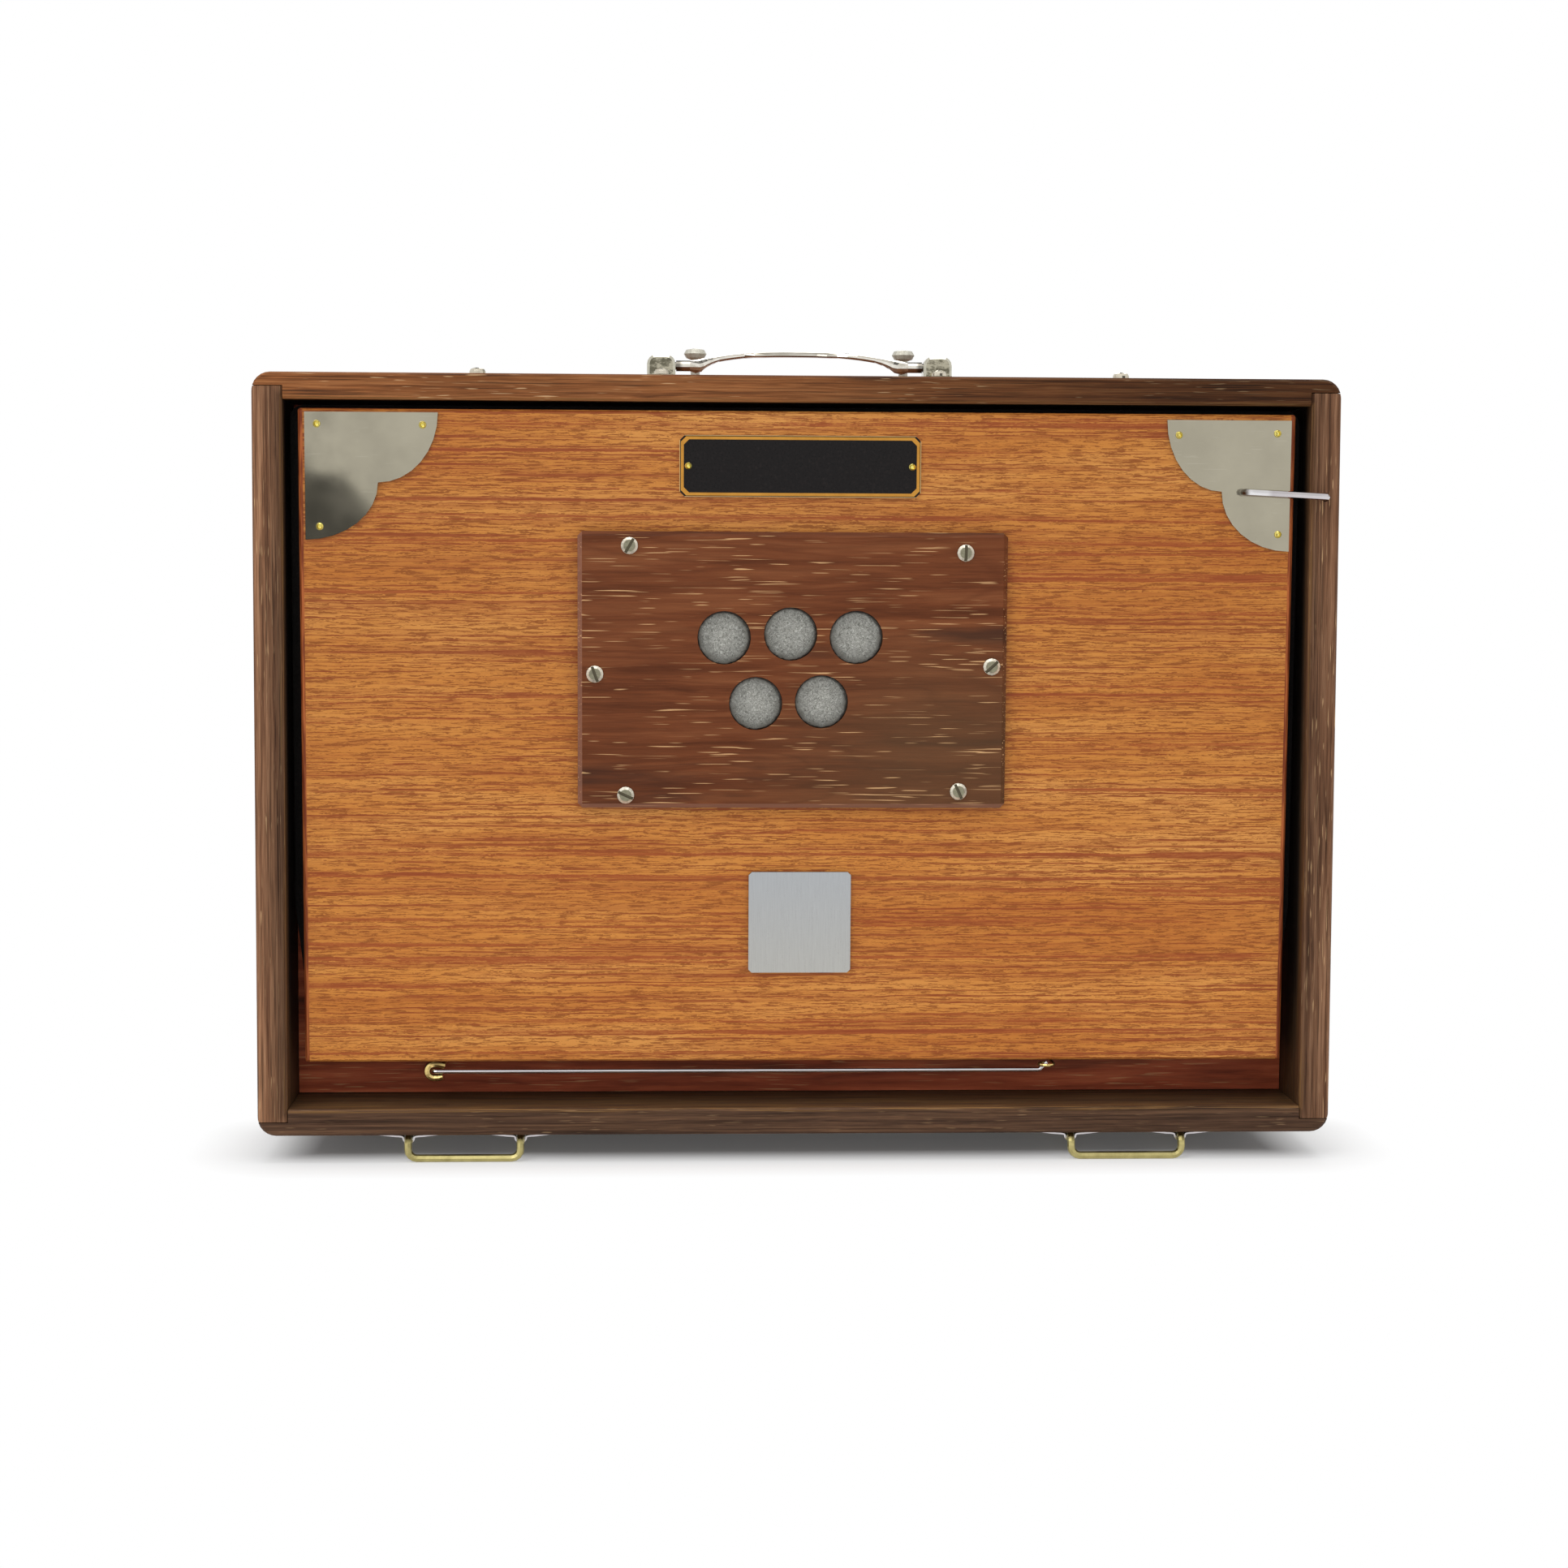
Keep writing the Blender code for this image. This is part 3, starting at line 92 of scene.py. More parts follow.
class Shader:
    """A small helper that builds one material's nodes."""

    def __init__(self, name):
        self.material = bpy.data.materials.new(name)
        self.material.use_nodes = True
        self.tree = self.material.node_tree
        self.surface = self.tree.nodes["Principled BSDF"]
        coordinates = self.node("ShaderNodeTexCoord")
        self.where = coordinates.outputs["Object"]
        self.normal = coordinates.outputs["Normal"]
        self.x, self.y, self.z = self.split(self.where)

    def node(self, kind, **values):
        made = self.tree.nodes.new(kind)
        for key, value in values.items():
            setattr(made, key, value)
        return made

    def feed(self, value, socket):
        """Sets a socket to a number or colour, or links it to an output."""
        if isinstance(value, (int, float)):
            socket.default_value = value
        elif isinstance(value, tuple):
            socket.default_value = (*value, 1.0) if len(socket.default_value) == 4 else value
        else:
            self.tree.links.new(value, socket)

    def split(self, vector):
        made = self.node("ShaderNodeSeparateXYZ")
        self.feed(vector, made.inputs[0])
        return made.outputs

    def calc(self, operation, first, second=0.0, clamp=False):
        made = self.node("ShaderNodeMath", operation=operation, use_clamp=clamp)
        self.feed(first, made.inputs[0])
        self.feed(second, made.inputs[1])
        return made.outputs[0]

    def along(self, vector, direction):
        """How far a vector reaches along a direction."""
        made = self.node("ShaderNodeVectorMath", operation="DOT_PRODUCT")
        self.feed(vector, made.inputs[0])
        made.inputs[1].default_value = tuple(direction)
        return made.outputs["Value"]

    def grain(self, axis, share, seed=0.0, vector=None):
        """Coordinates drawn out along one axis, and moved on by a seed."""
        mapping = self.node("ShaderNodeMapping")
        mapping.inputs["Location"].default_value = (seed, seed * 0.7, seed * 1.3)
        mapping.inputs["Scale"].default_value = tuple(share if name == axis else 1.0 for name in "XYZ")
        self.feed(vector or self.where, mapping.inputs["Vector"])
        return mapping.outputs["Vector"]

    def wander(self, vector, scale, amount):
        """Coordinates pushed about by a slow noise, so that lines on them wander."""
        drift = self.node("ShaderNodeTexNoise")
        drift.inputs["Scale"].default_value = scale
        self.feed(vector, drift.inputs["Vector"])
        made = self.node("ShaderNodeVectorMath", operation="MULTIPLY_ADD")
        self.feed(drift.outputs["Color"], made.inputs[0])
        made.inputs[1].default_value = (amount, amount, amount)
        self.feed(vector, made.inputs[2])
        return made.outputs["Vector"]

    def noise(self, vector, scale, detail=3.0, roughness=0.55, distortion=0.0):
        made = self.node("ShaderNodeTexNoise")
        for socket, number in (("Scale", scale), ("Detail", detail), ("Roughness", roughness),
                               ("Distortion", distortion)):
            made.inputs[socket].default_value = number
        self.feed(vector, made.inputs["Vector"])
        return made.outputs["Fac"]

    def levels(self, value, low, high, new_low=0.0, new_high=1.0):
        made = self.node("ShaderNodeMapRange")
        for socket, number in (("From Min", low), ("From Max", high), ("To Min", new_low), ("To Max", new_high)):
            made.inputs[socket].default_value = number
        self.feed(value, made.inputs["Value"])
        return made.outputs["Result"]

    def ramp(self, value, stops):
        made = self.node("ShaderNodeValToRGB")
        elements = made.color_ramp.elements
        while len(elements) < len(stops):
            elements.new(0.5)
        for element, (place, colour) in zip(elements, stops):
            element.position = place
            element.color = (*colour, 1.0)
        self.feed(value, made.inputs["Fac"])
        return made.outputs["Color"]

    def mix(self, factor, first, second, blend="MIX"):
        made = self.node("ShaderNodeMix", data_type="RGBA", blend_type=blend)
        for socket, value in ((made.inputs[0], factor), (made.inputs[6], first), (made.inputs[7], second)):
            self.feed(value, socket)
        return made.outputs[2]

    def shade(self, colour, value, low, high, dark, light):
        """Makes a colour darker or lighter with a value."""
        strength = self.levels(value, low, high, dark, light)
        made = self.node("ShaderNodeVectorMath", operation="SCALE")
        self.feed(colour, made.inputs[0])
        self.feed(strength, made.inputs["Scale"])
        return made.outputs["Vector"]

    def nearest(self, places):
        """Distance to the nearest of some points."""
        least = None
        for place in places:
            away = self.node("ShaderNodeVectorMath", operation="DISTANCE")
            self.feed(self.where, away.inputs[0])
            away.inputs[1].default_value = tuple(place)
            distance = away.outputs["Value"]
            least = distance if least is None else self.calc("MINIMUM", least, distance)
        return least

    def painted_round_reflections(self, colour, dark, underside):
        """Paints reflections into a bright round form's colour: darker flanks and a tinted underside."""
        upward = self.along(self.normal, (0, 0, 1))
        flank = self.calc("MULTIPLY", self.levels(upward, 0.25, 0.60), self.levels(upward, 0.97, 0.75))
        colour = self.mix(self.calc("MULTIPLY", flank, 0.75), colour, dark)
        return self.mix(self.levels(upward, -0.25, -0.80, 0.0, 0.85), colour, underside)

    def bump(self, value, strength, distance):
        made = self.node("ShaderNodeBump")
        made.inputs["Strength"].default_value = strength
        made.inputs["Distance"].default_value = distance
        self.feed(value, made.inputs["Height"])
        self.feed(made.outputs["Normal"], self.surface.inputs["Normal"])

    def finish(self, colour, roughness, metallic=0.0, coat=0.0, specular=0.5, sheen=0.0):
        self.feed(colour, self.surface.inputs["Base Color"])
        self.feed(roughness, self.surface.inputs["Roughness"])
        for socket, number in (("Metallic", metallic), ("Coat Weight", coat), ("Coat Roughness", 0.22),
                               ("Specular IOR Level", specular), ("Sheen Weight", sheen)):
            self.surface.inputs[socket].default_value = number
        return self.material


class Board:
    """The pump board's own axes: along X, up the leaning face and out of it."""

    def __init__(self):
        low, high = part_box("pump_board")
        middle = (low + high) / 2
        probe = Vector((low.x + 0.03, low.y - 1.0, low.z + 0.03))
        _, self.face, self.out, _ = nodes["pump_board"].ray_cast(probe, Vector((0, 1, 0)))
        probe = Vector((low.x + 0.03, high.y + 1.0, middle.z))
        _, self.back, _, _ = nodes["pump_board"].ray_cast(probe, Vector((0, -1, 0)))
        self.up = self.out.cross(Vector((1, 0, 0)))
        self.foot = min(v.co.dot(self.up) for v in nodes["pump_board"].data.vertices)

    def span(self, node):
        """A node's lowest and highest x and level above the board's bottom edge."""
        places = [(v.co.x, v.co.dot(self.up) - self.foot) for v in nodes[node].data.vertices]
        return (min(x for x, _ in places), max(x for x, _ in places),
                min(z for _, z in places), max(z for _, z in places))

    def on(self, node, x, level):
        """The point on a node's front at this x and level."""
        start = self.face + self.out * 0.05
        start += self.up * (self.foot + level - start.dot(self.up))
        start.x = x
        hit, place, _, _ = nodes[node].ray_cast(start, -self.out)
        if not hit:
            raise ValueError(f"nothing of {node} at {x}, {level}")
        return place

    def reach(self, node):
        """How far a node's foremost point stands out along the board's normal."""
        return max(v.co.dot(self.out) for v in nodes[node].data.vertices)

    def back_y(self, z):
        """Y of the board's back face at a level of the frame."""
        return self.back.y - (z - self.back.z) * self.out.z / self.out.y


board = Board()


def case_wood(name, axis, seed, shade, body, light, right_side=1.0, recess_shade_share=0.95, fleck_share=0.7, gold=0.45,
              inner_shade=0.60):
    """Open-pored dark hardwood, darkened to near black by painted shade where it faces the bellows."""
    shader = Shader(name)
    drifting = shader.wander(shader.where, 30, 0.0015)
    bands = shader.noise(shader.grain(axis, 0.014, seed, drifting), 700, 6, 0.68, 0.3)
    colour = shader.ramp(bands, [(0.34, shade), (0.49, body), (0.64, light)])
    broad = shader.noise(shader.grain(axis, 0.2, seed), 34, 2)
    colour = shader.shade(colour, broad, 0.3, 0.7, 0.84, 1.14)
    fibres = shader.noise(shader.grain(axis, 0.03, seed), 2300, 2)
    colour = shader.shade(colour, fibres, 0.3, 0.7, 0.80, 1.18)
    lines = shader.noise(shader.grain(axis, 0.012, seed + 3), 1700, 2)
    colour = shader.mix(shader.levels(lines, 0.55, 0.66, 0.0, 0.7), colour, srgb(52, 34, 22))
    flecks = shader.noise(shader.grain(axis, 0.05, seed), 2200, 0)
    patches = shader.noise(shader.grain(axis, 0.4, seed), 90, 1)
    sparse = shader.calc("MULTIPLY", shader.levels(flecks, 0.70, 0.77), shader.levels(patches, 0.42, 0.56))
    colour = shader.mix(shader.calc("MULTIPLY", sparse, fleck_share), colour, srgb(204, 168, 124))
    colour = shader.shade(colour, shader.x, -0.06, 0.14, 1.0, right_side)

    # Distance outside the case's inner box, level with its four inner faces
    half_height = (INNER_TOP - INNER_FLOOR) / 2
    beside = shader.calc("SUBTRACT", shader.calc("ABSOLUTE", shader.x), INNER_SIDE)
    from_middle = shader.calc("SUBTRACT", shader.z, INNER_FLOOR + half_height)
    above = shader.calc("SUBTRACT", shader.calc("ABSOLUTE", from_middle), half_height)
    outside = shader.calc("MAXIMUM", beside, above)
    # Painted shade: the side boards' inner faces are darkened, by a factor set for each board
    if axis == "Z":
        colour = shader.shade(colour, outside, 0.001, 0.0095, inner_shade, 1.04)
    arris = shader.calc("MULTIPLY", shader.levels(outside, 0.0016, 0.0004), shader.levels(lines, 0.48, 0.60))
    colour = shader.mix(shader.calc("MULTIPLY", arris, gold), colour, srgb(146, 108, 62))
    # Painted shade: the inner faces turn near black deeper behind the front edge, less so near the inner floor
    inner = shader.levels(outside, 0.0011, 0.0002)
    ragged = shader.calc("ADD", shader.y, shader.levels(bands, 0.3, 0.7, -0.0025, 0.0025))
    deep = shader.levels(ragged, CASE_FRONT + 0.0015, CASE_FRONT + 0.0105)
    front_half = shader.levels(shader.y, 0.004, 0.002)
    low_down = shader.levels(shader.z, INNER_FLOOR + 0.004, INNER_FLOOR + 0.05, 0.45, 1.0)
    painted_recess_shade = shader.calc("MULTIPLY", inner, shader.calc("MULTIPLY", deep, front_half))
    painted_recess_shade = shader.calc("MULTIPLY", painted_recess_shade, shader.calc("MULTIPLY", low_down, recess_shade_share))
    colour = shader.mix(painted_recess_shade, colour, srgb(20, 17, 15))
    shader.bump(shader.calc("ADD", fibres, shader.calc("MULTIPLY", lines, -0.8)), 0.35, 0.0002)
    return shader.finish(colour, shader.levels(fibres, 0.3, 0.7, 0.40, 0.58), specular=0.10)


def rosewood(name, seed, shade, body, light, fleck_share=0.75, ring_share=0.35, chamfer_highlight=None, shadow=None):
    """Reddish board with curved rings, dark figure and short pale pores."""
    shader = Shader(name)
    drifting = shader.wander(shader.where, 22, 0.004)
    bands = shader.noise(shader.grain("X", 0.05, seed, drifting), 210, 6, 0.6, 0.4)
    colour = shader.ramp(bands, [(0.32, shade), (0.50, body), (0.68, light)])
    swell = shader.noise(shader.grain("X", 0.16, seed), 26, 2, 0.5, 0.6)
    saw = shader.calc("PINGPONG", shader.calc("MULTIPLY", swell, 22.0), 1.0)
    rings = shader.calc("MULTIPLY", shader.levels(saw, 0.30, 0.0), ring_share)
    colour = shader.mix(rings, colour, shade)
    figure = shader.noise(shader.grain("X", 0.09, seed + 5, drifting), 75, 4, 0.6)
    colour = shader.mix(shader.levels(figure, 0.58, 0.72, 0.0, 0.8), colour, srgb(58, 36, 27))
    fibres = shader.noise(shader.grain("X", 0.03, seed), 2300, 2)
    colour = shader.shade(colour, fibres, 0.3, 0.7, 0.88, 1.10)
    if shadow:
        cloud = shader.calc("ADD", shader.calc("SUBTRACT", shader.x, shadow[0]), shader.levels(swell, 0, 1, -0.03, 0.03))
        falling = shader.calc("SUBTRACT", shadow[1], shader.z)
        both = shader.calc("MULTIPLY", shader.levels(cloud, -0.03, 0.03), shader.levels(falling, -0.02, 0.02))
        colour = shader.mix(shader.calc("MULTIPLY", both, 0.6), colour, srgb(84, 62, 42))
    pores = shader.noise(shader.grain("X", 0.035, seed), 1900, 0)
    patches = shader.noise(shader.grain("X", 0.35, seed), 80, 2)
    dashes = shader.calc("MULTIPLY", shader.levels(pores, 0.70, 0.76), shader.levels(patches, 0.36, 0.56))
    colour = shader.mix(shader.calc("MULTIPLY", dashes, fleck_share), colour, srgb(216, 172, 122))
    if chamfer_highlight:
        # Painted highlight: chamfers that face left and chamfers that face down are lightened as if lit
        facing = shader.along(shader.normal, board.out)
        low_left = shader.calc("MAXIMUM", shader.along(shader.normal, (-1, 0, 0)), shader.along(shader.normal, (0, 0, -1)))
        slanted = shader.calc("MULTIPLY", shader.levels(facing, 0.97, 0.80), shader.levels(facing, 0.2, 0.4))
        share = shader.calc("MULTIPLY", slanted, shader.levels(low_left, 0.2, 0.6, 0.0, 0.40))
        colour = shader.mix(share, colour, chamfer_highlight)
    shader.bump(shader.calc("ADD", fibres, shader.calc("MULTIPLY", dashes, -1.0)), 0.3, 0.00015)
    return shader.finish(colour, shader.levels(fibres, 0.3, 0.7, 0.34, 0.48), specular=0.08)


def laminate_finish():
    """Orange wood-print laminate: broken dashes, long red streaks, and a lipped edge."""
    shader = Shader("laminate_finish")
    low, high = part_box("pump_board")
    drifting = shader.wander(shader.where, 45, 0.0011)
    jagged = shader.wander(drifting, 650, 0.0005)
    broad = shader.noise(shader.grain("X", 0.14, 2.0), 42, 3, 0.6)
    colour = shader.ramp(broad, [(0.34, srgb(182, 112, 48)), (0.50, srgb(194, 127, 58)), (0.66, srgb(204, 141, 72))])
    soft = shader.noise(shader.grain("X", 0.010, 1.0, jagged), 640, 5, 0.68)
    colour = shader.mix(shader.levels(soft, 0.48, 0.58, 0.0, 0.50), colour, srgb(156, 86, 40))
    dashes = shader.noise(shader.grain("X", 0.06, 4.0, jagged), 2100, 2, 0.6)
    colour = shader.mix(shader.levels(dashes, 0.52, 0.56, 0.0, 0.80), colour, srgb(130, 70, 30))
    streaks = shader.noise(shader.grain("X", 0.004, 7.0, jagged), 250, 7, 0.72)
    colour = shader.mix(shader.levels(streaks, 0.55, 0.60, 0.0, 0.78), colour, srgb(146, 70, 36))
    fine = shader.noise(shader.grain("X", 0.006, 9.0, drifting), 900, 4, 0.66)
    colour = shader.mix(shader.levels(fine, 0.56, 0.60, 0.0, 0.80), colour, srgb(134, 62, 32))
    # Painted light and shade: lighter near the board's bottom and darker towards its top
    colour = shader.shade(colour, shader.z, low.z + 0.03, low.z + 0.17, 1.09, 0.965)

    lip = 0.0017
    half = (high.x - low.x) / 2
    inward = shader.calc("SUBTRACT", half, shader.calc("ABSOLUTE", shader.x))
    lipped = shader.levels(inward, lip + 0.0001, lip - 0.0001)
    edge_grain = shader.noise(shader.grain("Z", 0.05), 900, 3)
    lip_colour = shader.ramp(edge_grain, [(0.40, srgb(112, 50, 26)), (0.60, srgb(168, 92, 48))])
    colour = shader.mix(lipped, colour, lip_colour)
    facing = shader.along(shader.normal, board.out)
    colour = shader.mix(shader.levels(facing, 0.75, 0.35), colour, srgb(92, 38, 20))
    shader.bump(shader.calc("ADD", dashes, soft), 0.10, 0.00008)
    return shader.finish(colour, shader.levels(dashes, 0.3, 0.7, 0.34, 0.46), specular=0.16)


def metal(name, colour, dull, roughness, spread=0.12, wear=0.3, cloud_scale=170, scratch=0.05, streak=None):
    """Plated or rolled metal with soft tarnish clouds and hair scratches."""
    shader = Shader(name)
    cloud = shader.noise(shader.where, cloud_scale, 4)
    hairs = shader.noise(shader.grain(streak or "X", 0.05), 2600, 2)
    tone = shader.mix(shader.levels(cloud, 0.38, 0.70, 0.0, wear), colour, dull)
    tone = shader.shade(tone, hairs, 0.3, 0.7, 0.95, 1.04)
    shader.bump(hairs, scratch, 0.00005)
    return shader.finish(tone, shader.levels(cloud, 0.3, 0.75, roughness, roughness + spread), metallic=1.0)


def screw_finish(node):
    """A slotted head: a bright rim, a scratched flat and painted shade in the slot."""
    shader = Shader(f"{node}_nickel")
    top = board.reach(node)
    low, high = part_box(node)
    flat_radius = 0.0022
    sideways = shader.calc("SUBTRACT", shader.x, (low.x + high.x) / 2)
    upward = shader.calc("SUBTRACT", shader.z, (low.z + high.z) / 2)
    squares = shader.calc("ADD", shader.calc("MULTIPLY", sideways, sideways), shader.calc("MULTIPLY", upward, upward))
    radius = shader.calc("SQRT", squares)
    out = shader.along(shader.where, board.out)
    facing = shader.along(shader.normal, board.out)
    hairs = shader.noise(shader.grain("X", 0.2), 3500, 3, 0.7)
    cloud = shader.noise(shader.where, 700, 3)
    flat = shader.levels(radius, flat_radius + 0.0002, flat_radius - 0.0001)
    tone = shader.mix(flat, srgb(246, 242, 224), srgb(146, 142, 120))
    tone = shader.shade(tone, hairs, 0.3, 0.7, 0.74, 1.16)
    tone = shader.mix(shader.levels(cloud, 0.52, 0.66, 0.0, 0.35), tone, srgb(96, 88, 72))
    # Painted shade: the slot's floor and walls are darkened
    sunk = shader.calc("MULTIPLY", shader.levels(out, top - 0.0004, top - 0.0007), shader.levels(facing, 0.90, 0.96))
    walls = shader.levels(shader.calc("ABSOLUTE", facing), 0.25, 0.10)
    inside = shader.calc("MULTIPLY", walls, shader.levels(out, top - 0.0011, top - 0.0009))
    tone = shader.mix(shader.calc("MAXIMUM", sunk, inside), tone, srgb(92, 86, 70))
    shader.bump(hairs, 0.25, 0.00006)
    return shader.finish(tone, shader.levels(flat, 0.0, 1.0, 0.48, 0.30), metallic=1.0)


def sheet_steel():
    """Smooth bright sheet with a slight warp, faint smudges and a few hair scratches."""
    shader = Shader("sheet_steel")
    smudge = shader.noise(shader.where, 60, 3)
    hairs = shader.noise(shader.wander(shader.grain("X", 0.04, 2.0), 30, 0.004), 2100, 1)
    tone = shader.mix(shader.levels(smudge, 0.35, 0.70), srgb(172, 166, 147), srgb(164, 158, 140))
    tone = shader.mix(shader.levels(hairs, 0.70, 0.74, 0.0, 0.25), tone, srgb(196, 192, 176))
    warp = shader.noise(shader.where, 26, 1)
    shader.bump(warp, 0.35, 0.0016)
    return shader.finish(tone, shader.levels(smudge, 0.3, 0.7, 0.06, 0.11), metallic=1.0)


def cloth_finish(name, colour, light, roughness, scale, sheen=0.0, specular=0.2, bump=0.5):
    shader = Shader(name)
    weave = shader.noise(shader.where, scale, 5, 0.7)
    worn = shader.noise(shader.where, scale / 14, 3)
    tone = shader.mix(shader.levels(weave, 0.40, 0.72), colour, light)
    tone = shader.shade(tone, worn, 0.3, 0.7, 0.85, 1.15)
    shader.bump(weave, bump, 0.0004)
    return shader.finish(tone, roughness, specular=specular, sheen=sheen)


def dome_centres():
    """The middles of the felt's domes, which are its foremost points."""
    front = board.reach("inlet_felt")
    return [v.co.copy() for v in nodes["inlet_felt"].data.vertices if front - v.co.dot(board.out) < 0.00001]


def felt_finish():
    """Pressed grey felt: curled fibres, paler on top and in the middle from painted light, darker towards its rim from
    painted shade and some dirt.
    """
    shader = Shader("grey_felt")
    away = shader.nearest(dome_centres())
    curls = shader.noise(shader.wander(shader.where, 420, 0.004), 1500, 3, 0.75, 1.2)
    lumps = shader.noise(shader.where, 260, 3, 0.6)
    tone = shader.ramp(curls, [(0.36, srgb(98, 98, 92)), (0.52, srgb(146, 146, 140)), (0.66, srgb(184, 184, 177))])
    tone = shader.shade(tone, lumps, 0.3, 0.7, 0.88, 1.08)
    specks = shader.noise(shader.where, 900, 1)
    tone = shader.mix(shader.levels(specks, 0.70, 0.75, 0.0, 0.6), tone, srgb(84, 80, 72))
    # Painted light and shade: lighter at the dome's middle and on faces that look up, darker towards the rim and on
    # faces that look down
    dirt_and_shade = shader.calc("ADD", away, shader.levels(lumps, 0.3, 0.7, -0.0012, 0.0012))
    dirt_and_shade = shader.calc("ADD", dirt_and_shade, shader.levels(shader.along(shader.normal, (0, 0, 1)), -0.1, 0.1, 0.0005, -0.0003))
    tone = shader.shade(tone, dirt_and_shade, 0.003, 0.0088, 1.14, 0.74)
    # Dark at the very rim, patchy along the fibres: partly dirt and partly painted shade in the groove by the hole's
    # wall
    rim = shader.calc("MULTIPLY", shader.levels(dirt_and_shade, 0.0078, 0.0102), shader.levels(curls, 0.40, 0.56))
    tone = shader.mix(shader.calc("MULTIPLY", rim, 0.85), tone, srgb(74, 70, 62))
    shader.bump(shader.calc("ADD", curls, lumps), 0.6, 0.0003)
    return shader.finish(tone, 0.96, specular=0.1, sheen=0.1)


def enamel_finish():
    """Black enamel on a brass plate, which shows as a thin bright rim."""
    shader = Shader("black_enamel")
    low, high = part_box("name_plate")
    specks = shader.noise(shader.where, 1100, 3)
    tone = shader.mix(shader.levels(specks, 0.55, 0.75), srgb(19, 16, 16), srgb(34, 29, 28))
    facing = shader.along(shader.normal, board.out)
    inward = shader.calc("SUBTRACT", high.x, shader.calc("ABSOLUTE", shader.x))
    middle = (low.z + high.z) / 2
    from_middle = shader.calc("ABSOLUTE", shader.calc("SUBTRACT", shader.z, middle))
    inward = shader.calc("MINIMUM", inward, shader.calc("SUBTRACT", (high.z - low.z) / 2, from_middle))
    rim = shader.calc("MAXIMUM", shader.levels(inward, 0.0003, 0.0001), shader.levels(facing, 0.9, 0.5))
    tone = shader.mix(rim, tone, srgb(214, 176, 118))
    return shader.finish(tone, shader.levels(specks, 0.3, 0.7, 0.24, 0.40), specular=0.15)


def brushed_finish():
    """Fine upright brushing on the square plate."""
    shader = Shader("brushed_metal")
    low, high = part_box("badge_plate")
    lines = shader.noise(shader.grain("Z", 0.01), 3000, 2)
    tone = shader.ramp(shader.levels(shader.z, low.z, high.z), [(0.0, srgb(184, 183, 178)), (1.0, srgb(178, 181, 184))])
    tone = shader.shade(tone, lines, 0.3, 0.7, 0.94, 1.05)
    facing = shader.along(shader.normal, board.out)
    tone = shader.mix(shader.levels(facing, 0.9, 0.5), tone, srgb(96, 92, 84))
    shader.bump(lines, 0.08, 0.00004)
    return shader.finish(tone, shader.levels(lines, 0.3, 0.7, 0.26, 0.36), metallic=1.0)


def catch_finish():
    """Bright wire with painted light along its arm: painted shade at the tip, a painted highlight past it, and a greyer
    run towards its leg.
    """
    shader = Shader("catch_wire")
    low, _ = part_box("catch_hook")
    cloud = shader.noise(shader.grain("X", 0.3), 420, 3)
    from_tip = shader.calc("SUBTRACT", shader.x, low.x)
    # Painted shade at the tip and a painted highlight just past it, along the arm
    tone = shader.ramp(shader.levels(from_tip, 0.0, 0.034),
                       [(0.0, srgb(74, 68, 62)), (0.05, srgb(96, 90, 82)), (0.09, srgb(234, 234, 236)),
                        (0.28, srgb(236, 236, 238)), (0.34, srgb(204, 200, 204)), (1.0, srgb(216, 212, 214))])
    tone = shader.shade(tone, cloud, 0.3, 0.7, 0.9, 1.05)
    tone = shader.painted_round_reflections(tone, srgb(150, 142, 138), srgb(176, 160, 158))
    return shader.finish(tone, shader.levels(cloud, 0.3, 0.7, 0.06, 0.18), metallic=1.0)


def bracket_finish():
    """Nickel-plated brackets: painted reflections keep the rounded edges bright and darken the front and back faces in
    speckled clouds.
    """
    shader = Shader("bracket_nickel")
    cloud = shader.noise(shader.grain("X", 0.6), 620, 4, 0.6)
    # Painted reflection: faces that look forward or back are darker, with dark speckled clouds on them
    sideways = shader.calc("ABSOLUTE", shader.along(shader.normal, (0, 1, 0)))
    tone = shader.mix(shader.levels(sideways, 0.80, 0.97, 0.0, 1.0), srgb(196, 192, 176), srgb(176, 170, 150))
    face_reflection = shader.calc("MULTIPLY", shader.levels(sideways, 0.75, 0.97, 0.15, 1.0), shader.levels(cloud, 0.44, 0.58))
    tone = shader.mix(shader.calc("MULTIPLY", face_reflection, 0.85), tone, srgb(84, 80, 64))
    return shader.finish(tone, shader.levels(cloud, 0.3, 0.7, 0.06, 0.2), metallic=1.0)


def bail_finish():
    """Nickel-plated bail: painted reflections on its round form and as dark patches on top of the grip, and darker near
    the knuckles.
    """
    shader = Shader("bail_nickel")
    low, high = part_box("handle")
    middle = (low.x + high.x) / 2
    cloud = shader.noise(shader.grain("X", 0.35), 260, 4, 0.6)
    tone = shader.mix(shader.levels(cloud, 0.40, 0.66, 0.0, 0.55), srgb(236, 232, 222), srgb(196, 190, 176))
    tone = shader.painted_round_reflections(tone, srgb(186, 178, 164), srgb(192, 172, 166))
    away = shader.calc("ABSOLUTE", shader.calc("SUBTRACT", shader.x, middle))
    # Painted reflection: dark patches on the upward faces of the grip
    upper = shader.levels(shader.along(shader.normal, (0, 0, 1)), 0.1, 0.6)
    grip = shader.calc("MULTIPLY", shader.levels(away, 0.0185, 0.0150), upper)
    grip_reflection = shader.calc("MULTIPLY", grip, shader.levels(cloud, 0.30, 0.60, 0.35, 0.9))
    tone = shader.mix(grip_reflection, tone, srgb(132, 126, 110))
    knuckle = shader.levels(away, (high.x - low.x) / 2 - 0.0085, (high.x - low.x) / 2 - 0.0070)
    tone = shader.mix(shader.calc("MULTIPLY", knuckle, 0.8), tone, srgb(84, 78, 70))
    return shader.finish(tone, shader.levels(cloud, 0.3, 0.7, 0.05, 0.2), metallic=1.0)


